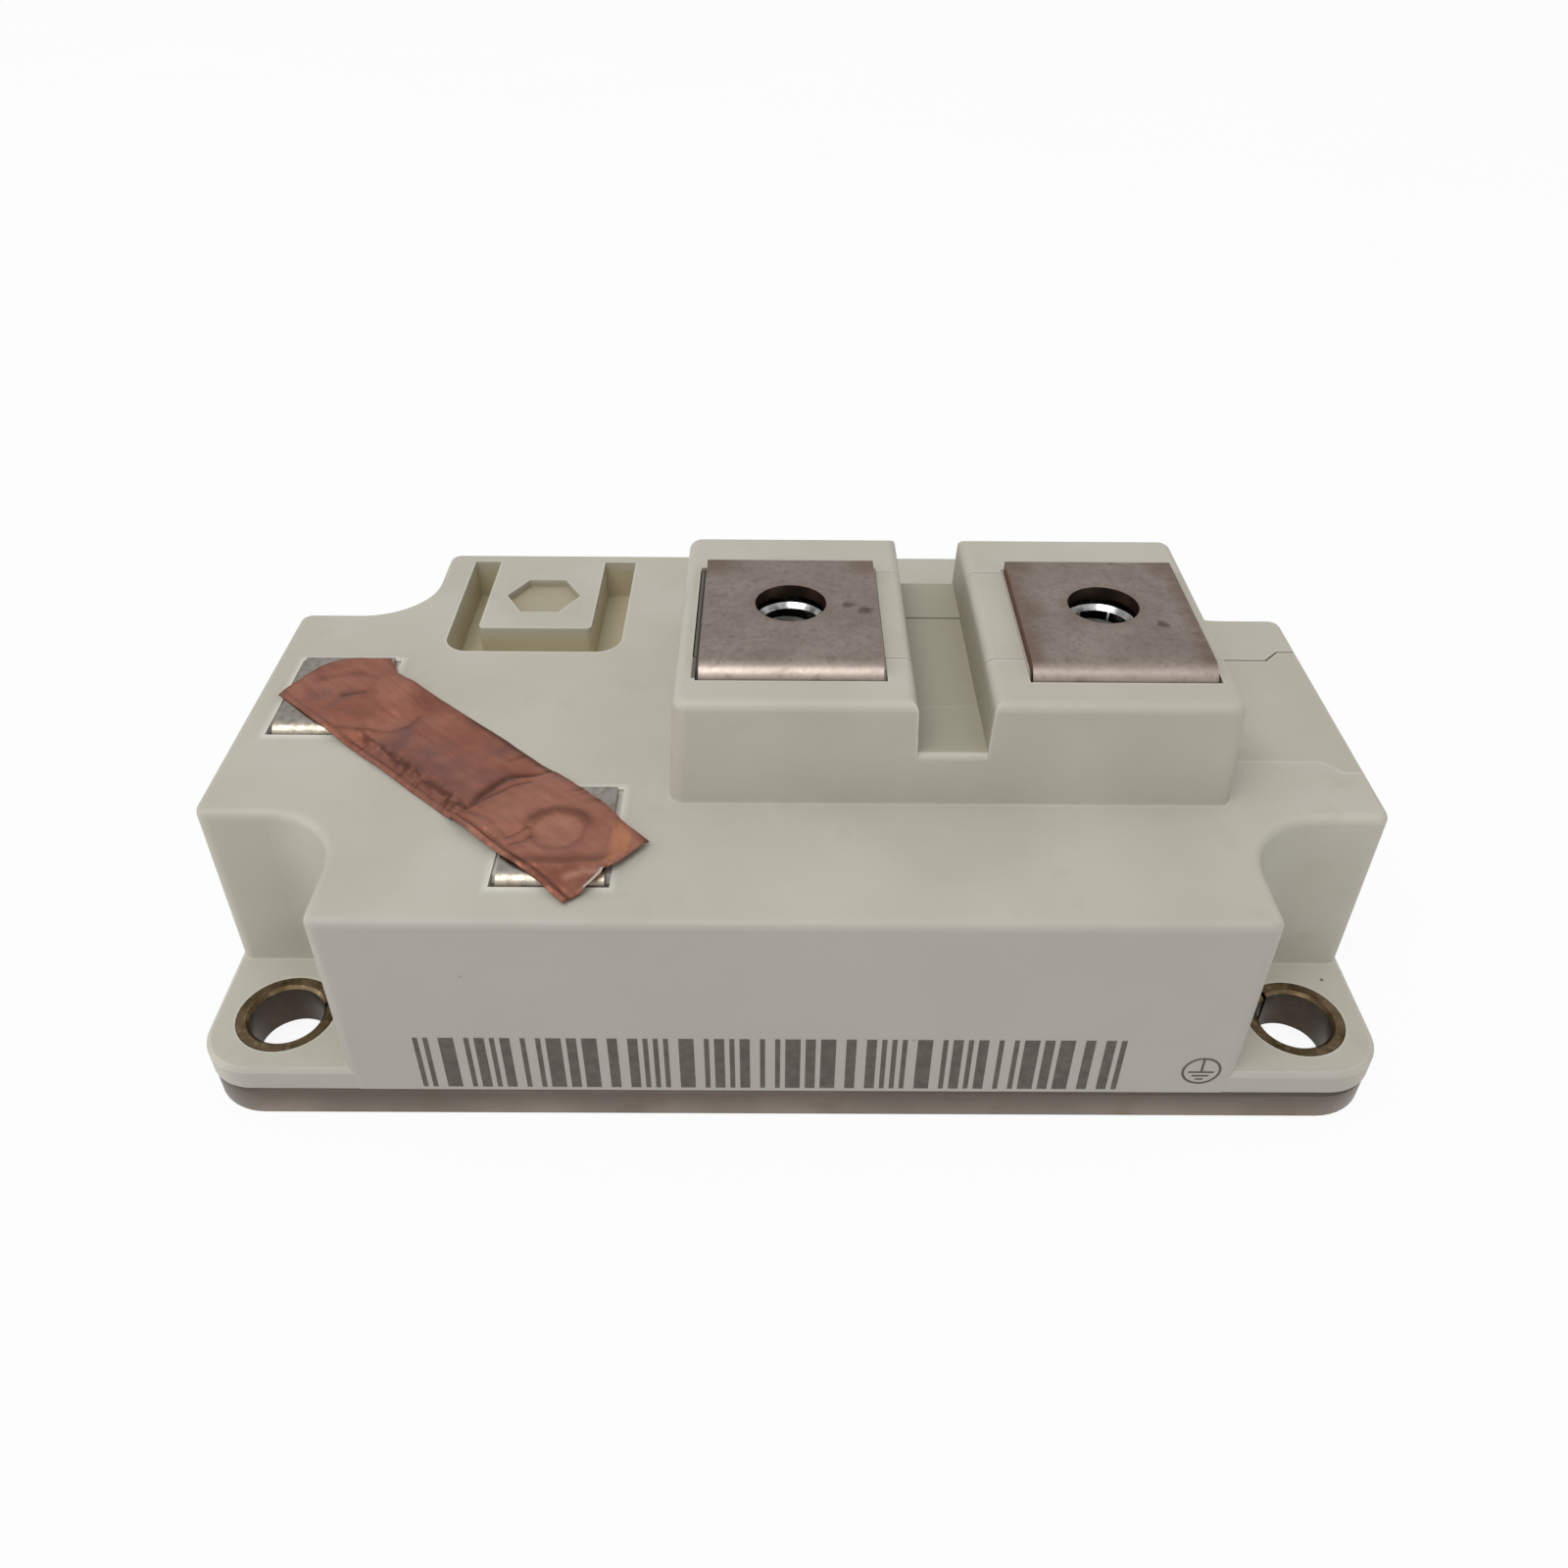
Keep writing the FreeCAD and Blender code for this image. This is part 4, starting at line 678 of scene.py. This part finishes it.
def support(x, y):
    # Top of what lies under the foil: the deck, rising softly before a control terminal's plate.
    level = BODY_TOP
    for cx, cy in (GATE, SENSE):
        inside = min(AUX_HALF - abs(x - cx), y - cy + AUX_FRONT, AUX_BACK - y + cy)
        level = max(level, BODY_TOP + (AUX_TOP - BODY_TOP) * smooth_step(-2.2, -0.1, inside))
    return level


def rest_on(height, floor, soft):
    # The higher of two heights, rounded where they are about the same.
    near = max(0.0, soft - abs(height - floor)) / soft
    return max(height, floor) + near * near * soft / 4


def foil_point(s, t):
    # A point of the film, and its purple, orange, dark and shiny tints: the dark one is mostly painted
    # shade, the shiny one gloss with painted highlights.
    front, rear = along(FOIL_FRONT, s), along(FOIL_REAR, s)
    left, right = along(FOIL_LEFT, t), along(FOIL_RIGHT, t)
    from_front, from_rear, from_left, from_right = t - front, rear - t, s - left, right - s
    height = FOIL_LEVEL - FOIL_SAG * smooth_step(7, 13, s) * (1 - smooth_step(25, 31, s))
    height -= 0.12 * (1 - smooth_step(4, 10, s)) + 0.4 * bell(math.hypot(from_left, from_front), 2.2)
    height += 0.14 * rough(s, t, 6.0, 1.3) + 0.08 * rough(s, t, 2.2, 4.1) + 0.035 * rough(s, t, 0.9, 7.7)
    height -= 0.12 * abs(rough(s, t, 2.6, 3.3)) + 0.07 * abs(rough(s, 1.4 * t, 1.3, 5.9))
    dark = 0.2 * max(0.0, rough(s, t, 3.0, 9.2)) + 0.2 * max(0.0, rough(s, t, 1.1, 2.2))

    crease = path_gap(MAIN_CREASE, s, t)
    lens = smooth_step(-4.9, -1.5, t) * (1 - smooth_step(2.0, 4.4, t))
    height += (0.2 * smooth_step(-0.1, 0.7, crease) * (1 - smooth_step(1.5, 7, crease))
               * (1 - smooth_step(1.0, 4.0, t)))
    height -= 0.3 * bell(crease, 0.35) * (0.4 + 0.6 * lens) + 0.1 * bell(crease + 1.2, 1.2)
    # Painted shade along the main crease and along each fold.
    dark += (0.4 + 0.6 * lens) * bell(crease + 0.1 * lens, 0.22 + 0.36 * lens)
    for points, rise, width, shade, line in FOLDS:
        gap = path_gap(points, s, t)
        height += rise * bell(gap, width)
        dark += shade * bell(gap, line)

    ring = math.hypot(s - IMPRINT[0], t - IMPRINT[1])
    behind = ((s - IMPRINT[0]) * math.sin(FOIL_ANGLE)
              + (t - IMPRINT[1]) * math.cos(FOIL_ANGLE)) / max(ring, 0.1)
    height -= 0.12 * (1 - smooth_step(IMPRINT_RADIUS - 0.4, IMPRINT_RADIUS + 0.2, ring))
    height += 0.08 * bell(ring - IMPRINT_RADIUS - 0.9, 0.7)
    # Painted shadow on the far side of the imprint's ring, and painted shade in its groove.
    dark += 0.75 * smooth_step(-0.1, 0.6, behind) * bell(ring - IMPRINT_RADIUS - 0.55, 0.55)
    dark += 0.25 * bell(ring - IMPRINT_RADIUS, 0.22)

    tip = -path_gap(TIP_FOLD, s, t)
    flap = smooth_step(0.0, 0.25, tip)
    height += 0.1 * bell(tip, 0.4) - 0.07 * max(0.0, tip)
    lip = bell(from_right, 0.55) * smooth_step(-4.6, -3.6, t) * (1 - smooth_step(-1.6, -0.8, t))
    height += 0.45 * lip
    # Painted shade before the tip's fold.
    dark += 0.6 * bell(tip + 0.6, 0.6) * (1 - flap) * (1 - smooth_step(41.2, 41.8, s))
    facet = inside_facet(s, t, 0.12)
    fold = path_gap(ORANGE_FOLD, s, t)
    height += 0.1 * bell(fold, 0.25) - 0.1 * facet * smooth_step(0, 2.5, abs(fold))
    streak = bell(path_gap(((40.8, -3.9), (41.2, -2.7), (42.0, -2.0)), s, t), 0.45)
    pressed = 1 - smooth_step(IMPRINT_RADIUS - 0.9, IMPRINT_RADIUS, ring)
    pale = smooth_step(27.5, 29.5, s) * (0.22 + 0.14 * pressed)
    # Shine, drawn paler and glossier: painted highlights on the flap's streak and the lip, and the right
    # part of the strip, more inside the imprint.
    gloss_and_highlight = min(1.0, flap * (0.05 + 0.6 * streak) + (1 - flap) * pale + lip)
    # Painted shade on the flap away from its streak.
    dark += 0.28 * flap * (1 - streak) * (1 - lip)

    # Pleats by the front and rear edges, with painted shade in their folds and dark smears.
    gather = (smooth_step(9.5, 12.5, s) * (1 - smooth_step(26.0, 28.5, s))
              * bell(max(0.0, from_front - 1.2), 2.1))
    pleat = rough(s + 0.5 * from_front + 0.4 * rough(s, t, 1.5, 2.6), 0.2 * from_front, 0.5, 6.4)
    height += 0.2 * gather * pleat * smooth_step(0.6, 1.4, from_front)
    dark += 0.65 * gather * smooth_step(-0.05, 0.35, -pleat) * bell(from_front - 1.5, 1.3)
    smear = rough(0.35 * s, t + 0.1 * s, 0.5, 8.8)
    dark += 0.95 * gather * smooth_step(-0.3, 0.15, smear) * bell(from_front - 1.9, 0.65)
    rear_pleat = smooth_step(30.5, 32, s) * (1 - smooth_step(36, 37.5, s)) * bell(from_rear, 1.2)
    pleat = rough(s - 0.3 * t, 0.2 * t, 0.4, 4.7)
    height += 0.12 * rear_pleat * pleat
    dark += 0.5 * rear_pleat * smooth_step(0.1, 0.4, pleat)

    # Painted shadow lines along the front edge, and painted shade along the rear, left and right edges and
    # the corners.
    height += 0.2 * bell(from_front - 0.35, 0.3) - 0.1 * bell(from_front - 0.8, 0.2)
    dark += 0.35 * bell(from_front - 0.75, 0.14) + 0.35 * bell(from_front, 0.1)
    height -= 0.12 * bell(from_rear, 0.4)
    dark += (0.35 + 0.65 * smooth_step(14, 18, s) * (1 - smooth_step(28, 31, s))) * bell(from_rear, 0.5)
    height -= 0.12 * bell(from_left, 0.5)
    dark += 0.45 * bell(from_left, 0.22) + 0.5 * bell(math.hypot(from_left, from_front), 1.0)
    dark += 0.45 * bell(math.hypot(from_right, from_rear), 0.8) + 0.25 * bell(from_right, 0.15) * (1 - lip)

    purple = max(bell(math.hypot(s - ps, t - pt), size) for (ps, pt), size in PURPLE_SPOTS)
    purple *= 0.75 + 0.5 * rough(s, t, 1.6, 5.5)
    x, y = strip_to_module(s, t)
    height = rest_on(height, support(x, y) + FOIL_THICK + 0.02, 0.2)
    return x, y, height, [min(1.0, max(0.0, tint)) for tint in (purple, facet, dark, gloss_and_highlight)]


def make_foil(material):
    # Strip of copper film, modelled as a fine sheet whose points follow the creases, then thickened.
    bpy.ops.mesh.primitive_grid_add(x_subdivisions=FOIL_STEPS[0], y_subdivisions=FOIL_STEPS[1], size=1.0)
    foil = name_piece("crumpled_foil")
    mesh = foil.data
    tint = mesh.color_attributes.new("tint", "FLOAT_COLOR", "POINT")
    for vertex in mesh.vertices:
        u, v = vertex.co.x + 0.5, vertex.co.y + 0.5
        guess = FOIL_FRONT[0][1] + v * (FOIL_LEFT[-1][0] - FOIL_FRONT[0][1])
        start, end = along(FOIL_LEFT, guess), along(FOIL_RIGHT, guess)
        s = start + u * (end - start)
        front, rear = along(FOIL_FRONT, s), along(FOIL_REAR, s)
        x, y, z, tints = foil_point(s, front + v * (rear - front))
        vertex.co = (x * MM, y * MM, z * MM)
        tint.data[vertex.index].color = tints
    apply_modifier(foil, "SOLIDIFY", thickness=FOIL_THICK * MM, offset=-1.0)
    only(foil)
    bpy.ops.object.shade_smooth_by_angle(angle=math.radians(50))
    foil.data.materials.append(material)
    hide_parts("shorting_foil")
    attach(foil, "root")


make_foil(film_copper())


# Threaded nuts, in millimetres

NUT_TOP = 33.4
NUT_HEIGHT = 5.0
NUT_FLATS = 10.0
THREAD_CORE = 2.5
THREAD_RADIUS = 3.0
THREAD_PITCH = 1.0
THREAD_STEPS = 40
ROUND_SIDES = 64
# Share of a corner's reach that is turned off, and how far the turning cone goes past the nut and narrows
BEVEL_SHARE = 0.6
BEVEL_PAST = 0.5
BEVEL_NARROWING = 0.9
# Countersunk mouth: how much wider than the thread, how deep, and how far its cone goes past the nut
MOUTH_WIDER = 0.45
MOUTH_DEPTH = 1.0
MOUTH_PAST = 0.2
CUT_PAST = 1.0


def add_round(radius, low, high, x, top_radius=None):
    # A closed cylinder or cone between two heights, placed by its axis.
    bpy.ops.mesh.primitive_cone_add(vertices=ROUND_SIDES, radius1=radius * MM,
                                    radius2=(radius if top_radius is None else top_radius) * MM,
                                    depth=(high - low) * MM, location=(x * MM, 0, (low + high) / 2 * MM))
    piece = bpy.context.object
    apply_place(piece)
    return piece


def combine(piece, tool, operation):
    apply_modifier(piece, "BOOLEAN", object=tool, operation=operation, solver="EXACT")
    bpy.data.objects.remove(tool, do_unlink=True)


def make_nut(name, node, x, material):
    # Hexagon nut: turned corners, a countersunk mouth at both ends and a helical thread ridge in its bore.
    top, low = NUT_TOP, NUT_TOP - NUT_HEIGHT
    corner = NUT_FLATS / math.sqrt(3)
    bpy.ops.mesh.primitive_cylinder_add(vertices=6, radius=corner * MM, depth=NUT_HEIGHT * MM,
                                        location=(x * MM, 0, (low + top) / 2 * MM),
                                        rotation=(0, 0, math.radians(30)))
    nut = name_piece(name)
    apply_place(nut)
    bevel = (corner - NUT_FLATS / 2) * BEVEL_SHARE
    narrow = corner - bevel - BEVEL_NARROWING
    for z0, z1, r0, r1 in ((top - bevel, top + BEVEL_PAST, corner, narrow),
                           (low - BEVEL_PAST, low + bevel, narrow, corner)):
        keep = add_round(r0, z0, z1, x, r1)
        rest = (low - CUT_PAST, z0) if z0 > low else (z1, top + CUT_PAST)
        combine(keep, add_round(corner + BEVEL_PAST, *rest, x), "UNION")
        combine(nut, keep, "INTERSECT")
    combine(nut, add_round(THREAD_RADIUS, low - CUT_PAST, top + CUT_PAST, x), "DIFFERENCE")
    mouth = THREAD_RADIUS + MOUTH_WIDER
    inner, outer = mouth - MOUTH_DEPTH, mouth + MOUTH_PAST
    combine(nut, add_round(inner, top - MOUTH_DEPTH, top + MOUTH_PAST, x, outer), "DIFFERENCE")
    combine(nut, add_round(outer, low - MOUTH_PAST, low + MOUTH_DEPTH, x, inner), "DIFFERENCE")

    # The ridge's section is narrow at the core and wide where it sinks into the bore's wall.
    bpy.ops.mesh.primitive_circle_add(vertices=4, radius=1.0, fill_type="NOTHING")
    ridge = name_piece(name + "_thread")
    root, crest, sunk = THREAD_PITCH * 0.44, THREAD_PITCH * 0.09, THREAD_RADIUS + 0.05
    section = ((sunk, -root), (THREAD_CORE, -crest), (THREAD_CORE, crest), (sunk, root))
    for vertex, (radius, rise) in zip(ridge.data.vertices, section):
        vertex.co = (radius * MM, 0, rise * MM)
    turns = int((NUT_HEIGHT - 2 * root - 0.2) / THREAD_PITCH)
    apply_modifier(ridge, "SCREW", angle=2 * math.pi, steps=THREAD_STEPS, render_steps=THREAD_STEPS,
                   screw_offset=THREAD_PITCH * MM, iterations=turns, use_merge_vertices=True,
                   merge_threshold=1e-6)
    edit_all(ridge, (bpy.ops.mesh.fill_holes, {"sides": 0}),
             (bpy.ops.mesh.normals_make_consistent, {"inside": False}))
    ridge.location = (x * MM, 0, ((low + top) / 2 - turns * THREAD_PITCH / 2) * MM)
    apply_place(ridge)
    only(ridge)
    nut.select_set(True)
    bpy.context.view_layer.objects.active = nut
    bpy.ops.object.join()
    only(nut)
    bpy.ops.object.shade_smooth_by_angle(angle=math.radians(28))
    nut.data.materials.clear()
    nut.data.materials.append(material)
    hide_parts(node)
    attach(nut, "root")


for nut_name, nut_x in (("collector", COLLECTOR_X), ("emitter", EMITTER_X)):
    make_nut(nut_name + "_hex_nut", nut_name + "_nut", nut_x, zinc)


# Printing on the front face

PRINT_DEPTH = 0.02
# The bars' left, right, bottom and top
BARS = (-32.75, 28.9, 3.6, 10.1)
BAR_STEP = 0.44
# The earth sign's middle, ring, upright (half width, bottom and top) and lines (half length and bottom)
EARTH = (36.05, 6.15)
EARTH_RADIUS = 1.75
EARTH_RING = 0.24
EARTH_UPRIGHT = (0.11, -0.05, 1.5)
EARTH_LINES = ((1.15, -0.27), (0.75, -0.75), (0.35, -1.2))
EARTH_LINE = 0.22


def front_plane(name, x0, x1, z0, z1):
    # A flat sheet on the front face, between two places along it and two heights.
    bpy.ops.mesh.primitive_plane_add(size=1.0, rotation=(math.radians(90), 0, 0),
                                     location=((x0 + x1) / 2 * MM, FRONT_FACE * MM, (z0 + z1) / 2 * MM))
    sheet = name_piece(name)
    sheet.scale = ((x1 - x0) * MM, (z1 - z0) * MM, 1)
    apply_place(sheet)
    return sheet


def finish_print(piece, material):
    # Turns a flat marking's faces to the front, gives it its small thickness and adds it to the module.
    edit_all(piece, (bpy.ops.mesh.normals_make_consistent, {"inside": False}))
    if piece.data.polygons[0].normal.y > 0:
        edit_all(piece, (bpy.ops.mesh.flip_normals, {}))
    apply_modifier(piece, "SOLIDIFY", thickness=PRINT_DEPTH * MM, offset=0.0)
    piece.data.materials.append(material)
    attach(piece, "root")


def bar_edges():
    # Bars of one to three steps and gaps of one or two, in a made-up order that stands for no number.
    x, k, edges = BARS[0], 0, []
    while True:
        bar = BAR_STEP * (1 + (k * k + k // 3) % 5 // 2)
        gap = BAR_STEP * (1 + (k * 3 + k // 5) % 4 // 2)
        if x + bar > BARS[1]:
            return edges
        edges.append((x, x + bar))
        x += bar + gap
        k += 1


def make_bars(material):
    sheet = front_plane("printed_bars", *BARS)
    edges = bar_edges()
    cuts = sorted({x for edge in edges for x in edge if BARS[0] < x < BARS[1]})
    only(sheet)
    bpy.ops.object.mode_set(mode="EDIT")
    for x in cuts:
        bpy.ops.mesh.select_all(action="SELECT")
        bpy.ops.mesh.bisect(plane_co=(x * MM, 0, 0), plane_no=(1, 0, 0))
    bpy.ops.mesh.select_mode(type="FACE")
    bpy.ops.mesh.select_all(action="DESELECT")
    bpy.ops.object.mode_set(mode="OBJECT")
    for face in sheet.data.polygons:
        x = face.center.x / MM
        face.select = not any(x0 < x < x1 for x0, x1 in edges)
    bpy.ops.object.mode_set(mode="EDIT")
    bpy.ops.mesh.delete(type="FACE")
    bpy.ops.object.mode_set(mode="OBJECT")
    finish_print(sheet, material)


def make_earth_mark(material):
    # Protective earth sign: a ring round one upright and three shorter and shorter lines.
    x, z = EARTH
    bpy.ops.mesh.primitive_circle_add(vertices=48, radius=EARTH_RADIUS * MM, fill_type="NGON",
                                      rotation=(math.radians(90), 0, 0),
                                      location=(x * MM, FRONT_FACE * MM, z * MM))
    ring = name_piece("printed_earth_mark")
    apply_place(ring)
    only(ring)
    bpy.ops.object.mode_set(mode="EDIT")
    bpy.ops.mesh.select_all(action="SELECT")
    bpy.ops.mesh.inset(thickness=EARTH_RING * MM)
    bpy.ops.mesh.delete(type="FACE")
    bpy.ops.object.mode_set(mode="OBJECT")
    half, low, high = EARTH_UPRIGHT
    parts = [front_plane("earth_upright", x - half, x + half, z + low, z + high)]
    for half, low in EARTH_LINES:
        parts.append(front_plane("earth_line", x - half, x + half, z + low, z + low + EARTH_LINE))
    only(ring)
    for part in parts:
        part.select_set(True)
    bpy.ops.object.join()
    finish_print(ring, material)


marking = laser_print()
make_bars(marking)
make_earth_mark(marking)
